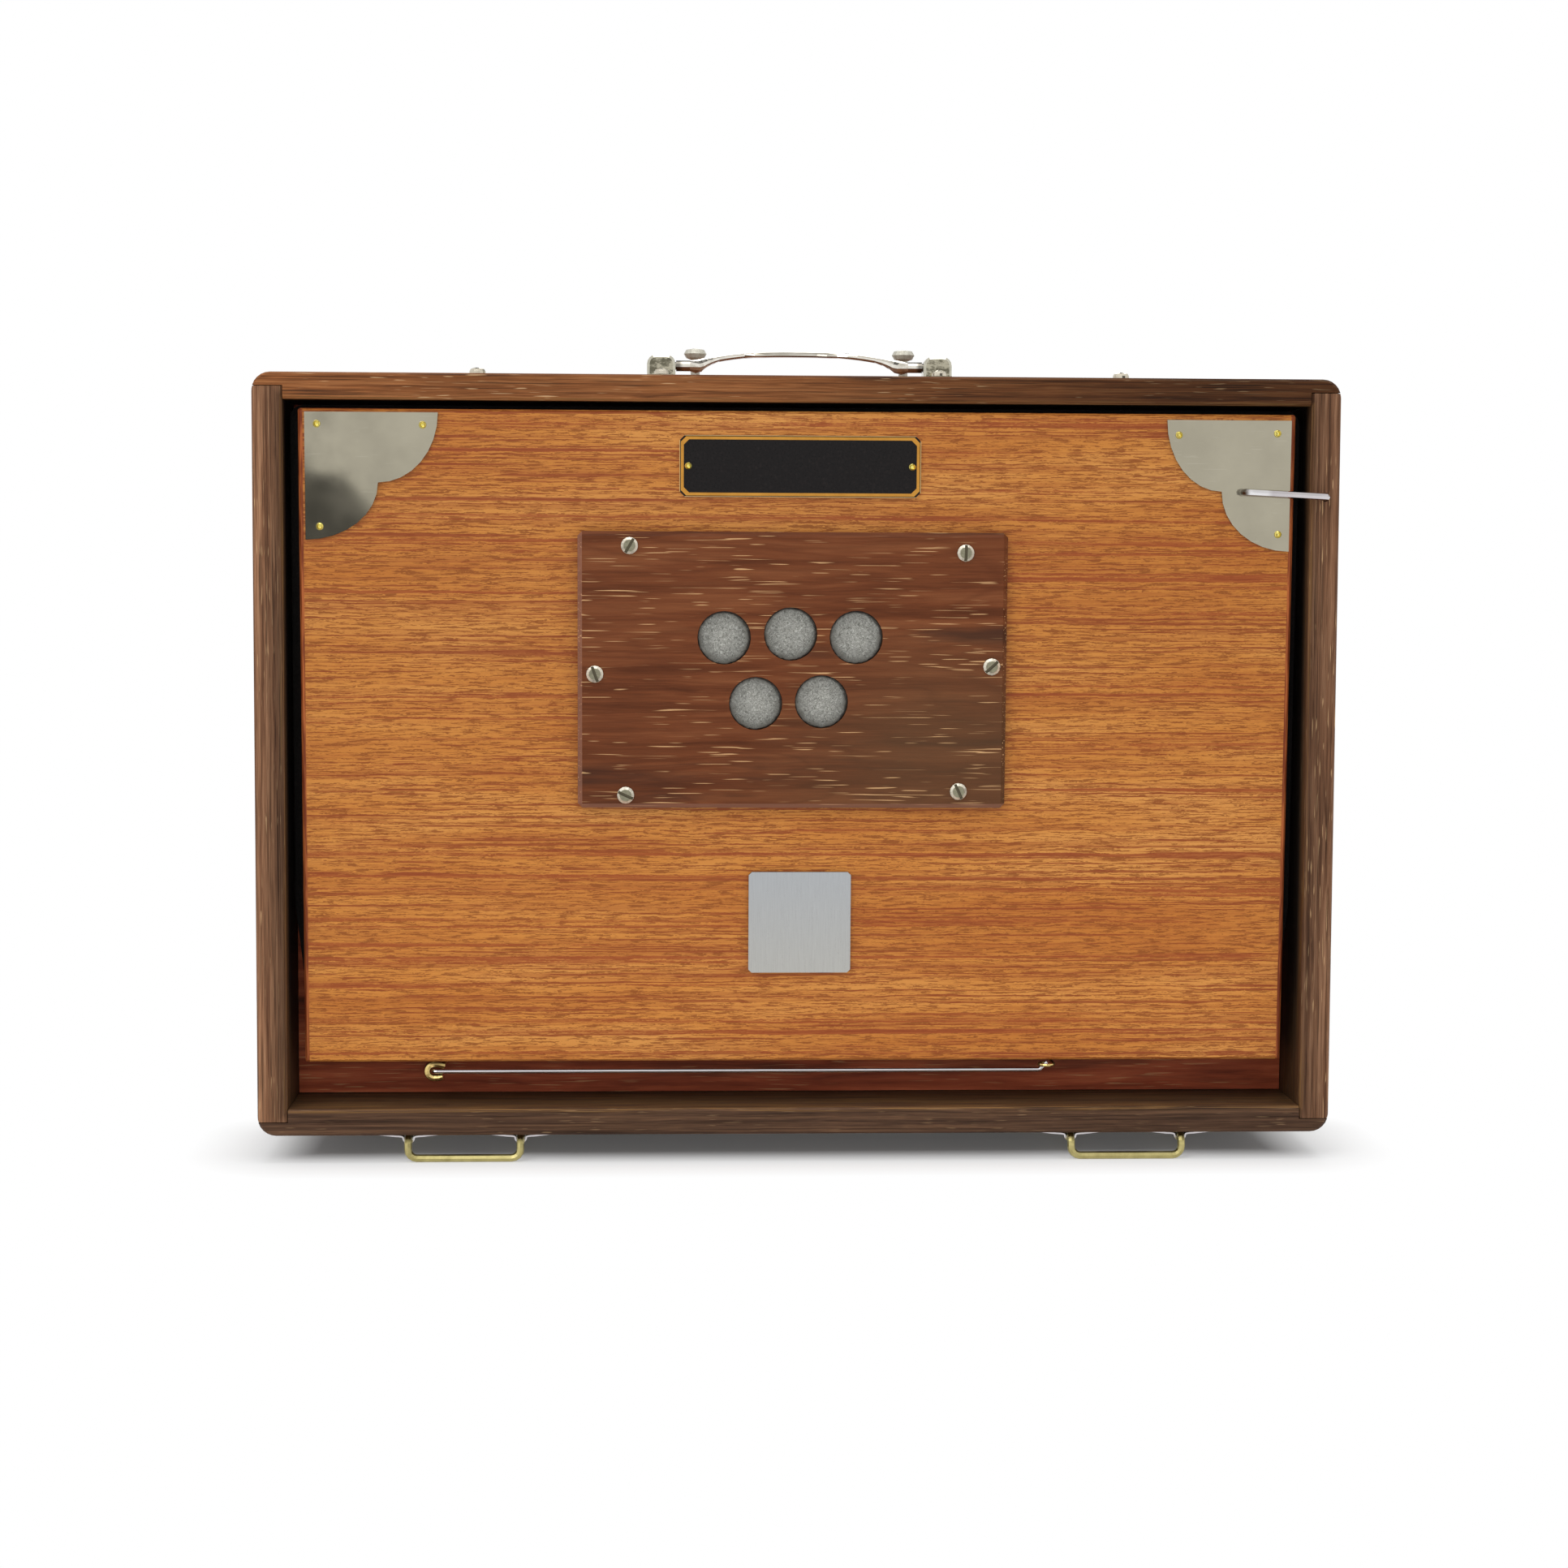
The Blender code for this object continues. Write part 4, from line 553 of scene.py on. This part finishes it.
def dress_nodes():
    dark = dict(shade=srgb(74, 48, 32), body=srgb(112, 78, 56), light=srgb(142, 106, 80))
    rose = dict(shade=srgb(84, 44, 24), body=srgb(107, 59, 34), light=srgb(124, 74, 45))
    red = dict(shade=srgb(112, 50, 32), body=srgb(150, 72, 46), light=srgb(176, 94, 62))
    plate_low, plate_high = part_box("inlet_plate")
    boards = {
        "case_top": case_wood("dark_wood_top", "X", 1.0, shade=srgb(85, 49, 26), body=srgb(128, 78, 43),
                              light=srgb(153, 102, 62), right_side=0.31),
        "case_bottom": case_wood("dark_wood_bottom", "X", 2.0, shade=srgb(48, 33, 24), body=srgb(79, 57, 43),
                                 light=srgb(102, 75, 55), recess_shade_share=0.8, fleck_share=0.25, gold=0.75),
        "case_left": case_wood("dark_wood_left", "Z", 3.0, shade=srgb(90, 58, 40), body=srgb(134, 95, 69),
                               light=srgb(160, 120, 90), inner_shade=0.34),
        "case_right": case_wood("dark_wood_right", "Z", 4.0, **dark, inner_shade=0.64),
        "inlet_plate": rosewood("rosewood_plate", 5.0, **rose, chamfer_highlight=srgb(168, 124, 106),
                                shadow=(0.012, (plate_low.z + plate_high.z) / 2)),
        "centre_board": rosewood("red_board", 6.0, **red, fleck_share=0.25),
        "key_panel": rosewood("key_panel_wood", 7.0, **rose, fleck_share=0.5),
    }
    sheet = sheet_steel()
    cream = metal("cream_nickel", srgb(216, 208, 190), srgb(128, 118, 100), 0.12, wear=0.6)
    finishes = {
        "laminate": laminate_finish(),
        "black_plate": enamel_finish(),
        "badge_metal": brushed_finish(),
        "steel": metal("bright_wire", srgb(204, 200, 202), srgb(150, 146, 146), 0.14, streak="X"),
        "chrome": bracket_finish(),
        "brass": metal("dull_brass", srgb(194, 182, 124), srgb(150, 138, 86), 0.30, wear=0.6, cloud_scale=240),
        "leather": cloth_finish("leather", srgb(138, 104, 75), srgb(164, 130, 98), 0.6, 400),
        "bellows_cloth": cloth_finish("black_cloth", srgb(17, 15, 14), srgb(30, 27, 25), 0.8, 1200),
        "felt": felt_finish(),
    }
    pale_brass = metal("pale_brass", srgb(232, 206, 136), srgb(186, 150, 84), 0.26, wear=0.4)
    lemon_brass = metal("lemon_brass", srgb(238, 224, 128), srgb(196, 172, 84), 0.14, wear=0.3)
    disc = metal("disc_nickel", srgb(206, 203, 190), srgb(158, 154, 138), 0.40, wear=0.6, cloud_scale=420)
    disc.node_tree.nodes["Principled BSDF"].inputs["Metallic"].default_value = 0.4
    own = {
        "corner_plate_left": sheet, "corner_plate_right": sheet, "catch_hook": catch_finish(),
        "handle": bail_finish(), "hinge_eye_left": pale_brass, "hinge_eye_right": pale_brass,
        "top_screw_left": cream, "top_screw_right": cream,
        "bracket_screw_left": cream, "bracket_screw_right": cream,
        "handle_stop_left": disc, "handle_stop_right": disc,
    }
    slot_of = {entry["node"]: entry["material_slot"] for entry in frame["record"]["subparts"]}
    for name, item in nodes.items():
        chosen = boards.get(name) or own.get(name) or finishes[slot_of[name]]
        if name.startswith("inlet_screw"):
            chosen = screw_finish(name)
        if name.startswith("key_") and name != "key_panel":
            chosen = pale_brass
        item.data.materials.clear()
        item.data.materials.append(chosen)
        if slot_of[name] in ("steel", "chrome", "brass"):
            item.data.shade_smooth()
            item.data.set_sharp_from_angle(angle=math.radians(38))
    return lemon_brass, finishes


def add_piece(name, bm, finish, body, smooth=True):
    bmesh.ops.recalc_face_normals(bm, faces=bm.faces)
    mesh = bpy.data.meshes.new(name)
    bm.to_mesh(mesh)
    bm.free()
    mesh.materials.append(finish)
    if smooth:
        mesh.shade_smooth()
        mesh.set_sharp_from_angle(angle=math.radians(40))
    item = bpy.data.objects.new(name, mesh)
    bpy.context.scene.collection.objects.link(item)
    if body:
        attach(item, body)
    return item


def turned(bm, centre, normal, profile, sides=20):
    """A closed turned form: pairs of radius and height along a normal, from the rim to the middle."""
    turn = Vector((0, 0, 1)).rotation_difference(Vector(normal)).to_matrix()
    rings = []
    for radius, rise in profile:
        count = sides if radius > 0 else 1
        ring = []
        for k in range(count):
            angle = 2 * math.pi * k / sides
            ring.append(bm.verts.new(Vector(centre) + turn @ Vector((radius * math.cos(angle),
                                                                     radius * math.sin(angle), rise))))
        rings.append(ring)
    for low, high in zip(rings, rings[1:]):
        for k in range(sides):
            corners = [low[k % len(low)], low[(k + 1) % len(low)], high[(k + 1) % len(high)], high[k % len(high)]]
            bm.faces.new(list(dict.fromkeys(corners)))
    bm.faces.new(list(reversed(rings[0])))


def dome_profile(radius, rise, steps=5):
    return [(radius * math.cos(math.pi / 2 * i / steps), rise * math.sin(math.pi / 2 * i / steps))
            for i in range(steps)] + [(0.0, rise)]


def add_pins(brass):
    """Brass pins that hold the corner plates and the name plate, set in from the plates' edges."""
    radius = 0.00145
    rise = 0.0010
    profile = dome_profile(radius, rise)[:-2] + [(radius * 0.55, rise), (radius * 0.36, rise * 0.2),
                                                 (0.0, rise * 0.1)]
    left, _, _, left_top = board.span("corner_plate_left")
    _, right, _, right_top = board.span("corner_plate_right")
    name_left, name_right, name_low, name_high = board.span("name_plate")
    middle = (name_low + name_high) / 2
    places = [("corner_plate_left", left + 0.0046, left_top - 0.0045),
              ("corner_plate_left", left + 0.0440, left_top - 0.0047),
              ("corner_plate_left", left + 0.0054, left_top - 0.0427),
              ("corner_plate_right", right - 0.0429, right_top - 0.0057),
              ("corner_plate_right", right - 0.0053, right_top - 0.0049),
              ("corner_plate_right", right - 0.0043, right_top - 0.0430),
              ("name_plate", name_left + 0.0033, middle), ("name_plate", name_right - 0.0033, middle)]
    for i, (node, x, level) in enumerate(places):
        bm = bmesh.new()
        turned(bm, board.on(node, x, level), board.out, profile)
        add_piece(f"plate_pin_{i + 1}", bm, brass, "pump")


def add_name_border():
    """The gold line that runs round the black plate, just inside its rim."""
    gold = metal("gold_line", srgb(206, 148, 66), srgb(150, 98, 38), 0.3)
    left, right, low, high = board.span("name_plate")
    width = 0.0011
    inset = 0.0005
    clip = 0.002
    lift = 0.00012
    face = board.on("name_plate", (left + right) / 2, (low + high) / 2)
    bm = bmesh.new()
    layers = []
    for raise_by in (0.0, lift):
        for step in (inset, inset + width):
            a0, a1, b0, b1 = left + step, right - step, low + step, high - step
            corners = ((a1, b0 + clip), (a1, b1 - clip), (a1 - clip, b1), (a0 + clip, b1),
                       (a0, b1 - clip), (a0, b0 + clip), (a0 + clip, b0), (a1 - clip, b0))
            ring = []
            for x, level in corners:
                place = face + board.out * raise_by
                place += board.up * (board.foot + level - face.dot(board.up))
                ring.append(bm.verts.new((x, place.y, place.z)))
            layers.append(ring)
    outer_low, inner_low, outer_high, inner_high = layers
    for here, there in ((outer_low, outer_high), (outer_high, inner_high),
                        (inner_high, inner_low), (inner_low, outer_low)):
        for i in range(8):
            j = (i + 1) % 8
            bm.faces.new((here[i], here[j], there[j], there[i]))
    add_piece("name_border", bm, gold, "pump", smooth=False)


def add_strap_nails(steel):
    """Small round nails through the wings of the foot straps, found from below."""
    profile = dome_profile(0.0015, 0.0008)
    wing_middle = 0.0069
    for name in ("left_outer", "left_inner", "right_outer", "right_inner"):
        node = f"foot_strap_{name}"
        low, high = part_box(node)
        for side in (-1, 1):
            start = Vector(((low.x + high.x) / 2 + side * wing_middle, (low.y + high.y) / 2, low.z - 0.01))
            _, seat, normal, _ = nodes[node].ray_cast(start, Vector((0, 0, 1)))
            bm = bmesh.new()
            turned(bm, seat, normal, profile)
            add_piece(f"nail_{name}_{'a' if side < 0 else 'b'}", bm, steel, "case")


def add_felt(finish):
    """The felt's own form, remeshed finely and roughened into a fibrous surface."""
    voxel = 0.0005
    coarse = 380.0
    fine = 1500.0
    ruggedness = 0.00014
    radius = 0.0098
    widened = 0.0004
    raised = 0.0003
    droop = 0.0009
    mesh = nodes["inlet_felt"].data.copy()
    mesh.name = "felt_pad"
    pad = bpy.data.objects.new("felt_pad", mesh)
    bpy.context.scene.collection.objects.link(pad)
    remesh = pad.modifiers.new("fine", "REMESH")
    remesh.mode = "VOXEL"
    remesh.voxel_size = voxel
    relax = pad.modifiers.new("relax", "SMOOTH")
    relax.iterations = 3
    ready = bpy.data.meshes.new_from_object(pad.evaluated_get(bpy.context.evaluated_depsgraph_get()))
    pad.modifiers.clear()
    pad.data = ready
    sheet_front = board.reach("inlet_felt") - 0.0025
    centres = dome_centres()
    crown = board.reach("inlet_felt") + raised
    for vertex in ready.vertices:
        level = vertex.co.dot(board.out)
        if level < sheet_front:
            continue
        rough = noise.noise(vertex.co * coarse) + 0.6 * noise.noise(vertex.co * fine)
        away = vertex.co - min(centres, key=lambda centre: (vertex.co - centre).length)
        away -= board.out * away.dot(board.out)
        share = away.length / radius
        moved = away.normalized() * (widened * share ** 3)
        if vertex.normal.dot(board.out) > 0.35:
            moved += board.out * (crown - droop * share ** 5 - level)
        vertex.co += moved + vertex.normal * (ruggedness * rough)
    ready.materials.clear()
    ready.materials.append(finish)
    ready.shade_smooth()
    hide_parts("inlet_felt")
    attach(pad, "pump")


def rounded_ring(corners, radius, steps):
    """A closed outline with its corners rounded."""
    points = []
    corners = [Vector(c) for c in corners]
    for i, corner in enumerate(corners):
        before = (corners[i - 1] - corner).normalized()
        after = (corners[(i + 1) % len(corners)] - corner).normalized()
        half = before.angle(after) / 2
        centre = corner + (before + after).normalized() * (radius / math.sin(half))
        start = corner + before * (radius / math.tan(half)) - centre
        end = corner + after * (radius / math.tan(half)) - centre
        sweep = start.angle(end)
        for step in range(steps + 1):
            done = sweep * step / steps
            points.append(centre + (start * math.sin(sweep - done) + end * math.sin(done)) / math.sin(sweep))
    return points


def add_bellows(cloth_material):
    """Rounded pleats in place of the plain sleeve, from the centre board to the leaning pump board."""
    low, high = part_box("bellows_cloth")
    pleats = 3
    per_pleat = 10
    thick = 0.001
    pleat_depth = 0.0065
    softness = 0.25
    corner_radius = 0.005
    corner_steps = 4
    knee = UNDERSIDE + 0.085
    foot_inset = 0.0068
    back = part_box("centre_board")[0].y - SEAT_GAP

    bm = bmesh.new()
    rings = []
    count = pleats * per_pleat
    for skin in (0.0, thick):
        for i in range(count + 1):
            share = i / count
            turn = share * pleats % 1.0
            sharp = 1 - abs(2 * turn - 1)
            soft = 0.5 - 0.5 * math.cos(2 * math.pi * turn)
            inset = skin + pleat_depth * (1 - sharp * (1 - softness) - soft * softness)
            side = high.x - inset
            foot = side - foot_inset
            corners = ((-foot, low.z + inset), (foot, low.z + inset), (side, knee),
                       (side, high.z - inset), (-side, high.z - inset), (-side, knee))
            ring = []
            for x, z in rounded_ring(corners, corner_radius, corner_steps):
                y = (board.back_y(z) + SEAT_GAP * 1.5) * (1 - share) + back * share
                ring.append(bm.verts.new((x, y, z)))
            rings.append(ring)
    outer = rings[:count + 1]
    inner = rings[count + 1:]
    loops = outer + list(reversed(inner))
    around = len(rings[0])
    for here, there in zip(loops, loops[1:] + loops[:1]):
        for i in range(around):
            j = (i + 1) % around
            bm.faces.new((here[i], here[j], there[j], there[i]))
    pleated = add_piece("bellows_pleats", bm, cloth_material, None)
    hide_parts("bellows_cloth")
    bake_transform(pleated)


def add_springs(steel):
    """Spring wires copied from the part, with their long edges cut into shorter ones."""
    leg_step = 0.008
    leg_cuts = 8
    for side in ("left", "right"):
        node = f"bellows_spring_{side}"
        bm = bmesh.new()
        bm.from_mesh(nodes[node].data)
        bmesh.ops.subdivide_edges(bm, edges=[edge for edge in bm.edges if edge.calc_length() > leg_step],
                                  cuts=leg_cuts)
        spring = add_piece(f"spring_wire_{side}", bm, steel, None)
        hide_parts(node)
        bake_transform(spring)


def seen_directly(tree):
    """1 for the rays that show a backdrop: from the camera, in a mirror or through glass."""
    path = tree.nodes.new("ShaderNodeLightPath")
    top = path.outputs["Is Camera Ray"]
    for name in ("Is Glossy Ray", "Is Transmission Ray"):
        either = tree.nodes.new("ShaderNodeMath")
        either.operation = "MAXIMUM"
        tree.links.new(top, either.inputs[0])
        tree.links.new(path.outputs[name], either.inputs[1])
        top = either.outputs[0]
    return top


def set_world():
    ambient = 0.52
    world = bpy.data.worlds.new("plain_world")
    bpy.context.scene.world = world
    world.use_nodes = True
    tree = world.node_tree
    background = tree.nodes["Background"]
    background.inputs["Color"].default_value = (1.0, 1.0, 1.0, 1.0)
    strength = tree.nodes.new("ShaderNodeMapRange")
    strength.inputs["To Min"].default_value = ambient
    strength.inputs["To Max"].default_value = 1.0
    tree.links.new(seen_directly(tree), strength.inputs["Value"])
    tree.links.new(strength.outputs["Result"], background.inputs["Strength"])


def stage_mesh(name, corners, material):
    bm = bmesh.new()
    bm.faces.new([bm.verts.new(corner) for corner in corners])
    mesh = bpy.data.meshes.new(name)
    bm.to_mesh(mesh)
    bm.free()
    mesh.materials.append(material)
    item = bpy.data.objects.new(name, mesh)
    bpy.context.scene.collection.objects.link(item)
    return item


def set_floor():
    """A pale floor that keeps the shadow near the object and runs out to plain white."""
    size = 4.0
    half_wide = 0.185
    half_deep = 0.018
    fade = 0.050
    lift = 0.045
    shader = Shader("pale_floor")
    shader.finish((0.86, 0.86, 0.86), 0.7, specular=0.0)
    tree = shader.tree
    middle_y = (cad_low.y + cad_high.y) / 2
    beside = shader.calc("SUBTRACT", shader.calc("ABSOLUTE", shader.x), half_wide)
    beyond = shader.calc("SUBTRACT", shader.calc("ABSOLUTE", shader.calc("SUBTRACT", shader.y, middle_y)), half_deep)
    squares = 0.0
    for gap in (beside, beyond):
        gap = shader.calc("MAXIMUM", gap, 0.0)
        squares = shader.calc("ADD", squares, shader.calc("MULTIPLY", gap, gap))
    far = shader.levels(shader.calc("SQRT", squares), 0.0, fade, lift, 1.0)
    share = shader.calc("MULTIPLY", far, seen_directly(tree))
    white = shader.node("ShaderNodeEmission")
    both = shader.node("ShaderNodeMixShader")
    tree.links.new(share, both.inputs[0])
    tree.links.new(shader.surface.outputs[0], both.inputs[1])
    tree.links.new(white.outputs[0], both.inputs[2])
    tree.links.new(both.outputs[0], tree.nodes["Material Output"].inputs["Surface"])
    stage_mesh("floor", [(-size, -size, 0), (size, -size, 0), (size, size, 0), (-size, size, 0)],
               shader.material)


def set_flags():
    """Dark cards that only mirrors see, so that bright metal keeps dark accents."""
    card = Shader("dark_card")
    card.finish((0.03, 0.03, 0.03), 0.9, specular=0.0)
    glow = card.node("ShaderNodeEmission")
    glow.inputs["Color"].default_value = (0.10, 0.10, 0.10, 1.0)
    card.tree.links.new(glow.outputs[0], card.tree.nodes["Material Output"].inputs["Surface"])
    cards = {
        "flag_left": [(-0.46, -1.14, 0.01), (-0.258, -1.14, 0.01), (-0.258, -1.14, 0.19),
                      (-0.30, -1.14, 0.232), (-0.46, -1.14, 0.232)],
        "flag_right": [(0.62, -1.30, 0.01), (1.20, -1.30, 0.01), (1.20, -1.30, 1.20), (0.62, -1.30, 1.20)],
        "flag_high": [(-1.2, 0.9, 1.10), (1.2, 0.9, 1.10), (1.2, 0.9, 1.55), (-1.2, 0.9, 1.55)],
    }
    for name, corners in cards.items():
        flag = stage_mesh(name, corners, card.material)
        flag.visible_camera = False
        flag.visible_diffuse = False
        flag.visible_shadow = False
        flag.visible_transmission = False


def set_lamps():
    lamps = [("key_light", (-0.9, -1.4, 1.5), 1.1, 11), ("fill_light", (1.2, -1.2, 0.9), 1.0, 3),
             ("front_light", (-0.1, -1.9, 0.2), 0.7, 7.5), ("top_light", (0.0, -0.1, 2.2), 1.4, 14),
             ("back_light", (0.3, 1.4, 1.4), 0.9, 7)]
    for name, place, size, power in lamps:
        data = bpy.data.lights.new(name, "AREA")
        data.size = size
        data.energy = power
        lamp = bpy.data.objects.new(name, data)
        lamp.location = place
        lamp.rotation_euler = (Vector((0, 0, 0.15)) - Vector(place)).to_track_quat("-Z", "Y").to_euler()
        lamp.visible_glossy = name != "front_light"
        bpy.context.scene.collection.objects.link(lamp)


def set_camera():
    data = bpy.data.cameras.new("camera")
    data.lens = LENS_MM
    data.sensor_width = 36.0
    camera = bpy.data.objects.new("camera", data)
    place = Vector((0, CASE_FRONT, UNDERSIDE)) + CAMERA_FROM_CASE_FOOT
    turn = Matrix.Rotation(ROLL, 3, "Y") @ Matrix.Rotation(PITCH, 3, "X") @ Matrix.Rotation(YAW, 3, "Z")
    right, forward, up = turn[0], turn[1], turn[2]
    columns = Matrix((right, up, -forward)).transposed()
    camera.matrix_world = Matrix.Translation(place) @ columns.to_4x4()
    bpy.context.scene.collection.objects.link(camera)
    bpy.context.scene.camera = camera


bpy.context.scene.view_settings.view_transform = "Standard"
pin_brass, slot_finishes = dress_nodes()
add_pins(pin_brass)
add_name_border()
add_strap_nails(slot_finishes["steel"])
add_felt(slot_finishes["felt"])
add_bellows(slot_finishes["bellows_cloth"])
add_springs(slot_finishes["steel"])
set_world()
set_floor()
set_flags()
set_lamps()
set_camera()

bpy.context.view_layer.update()
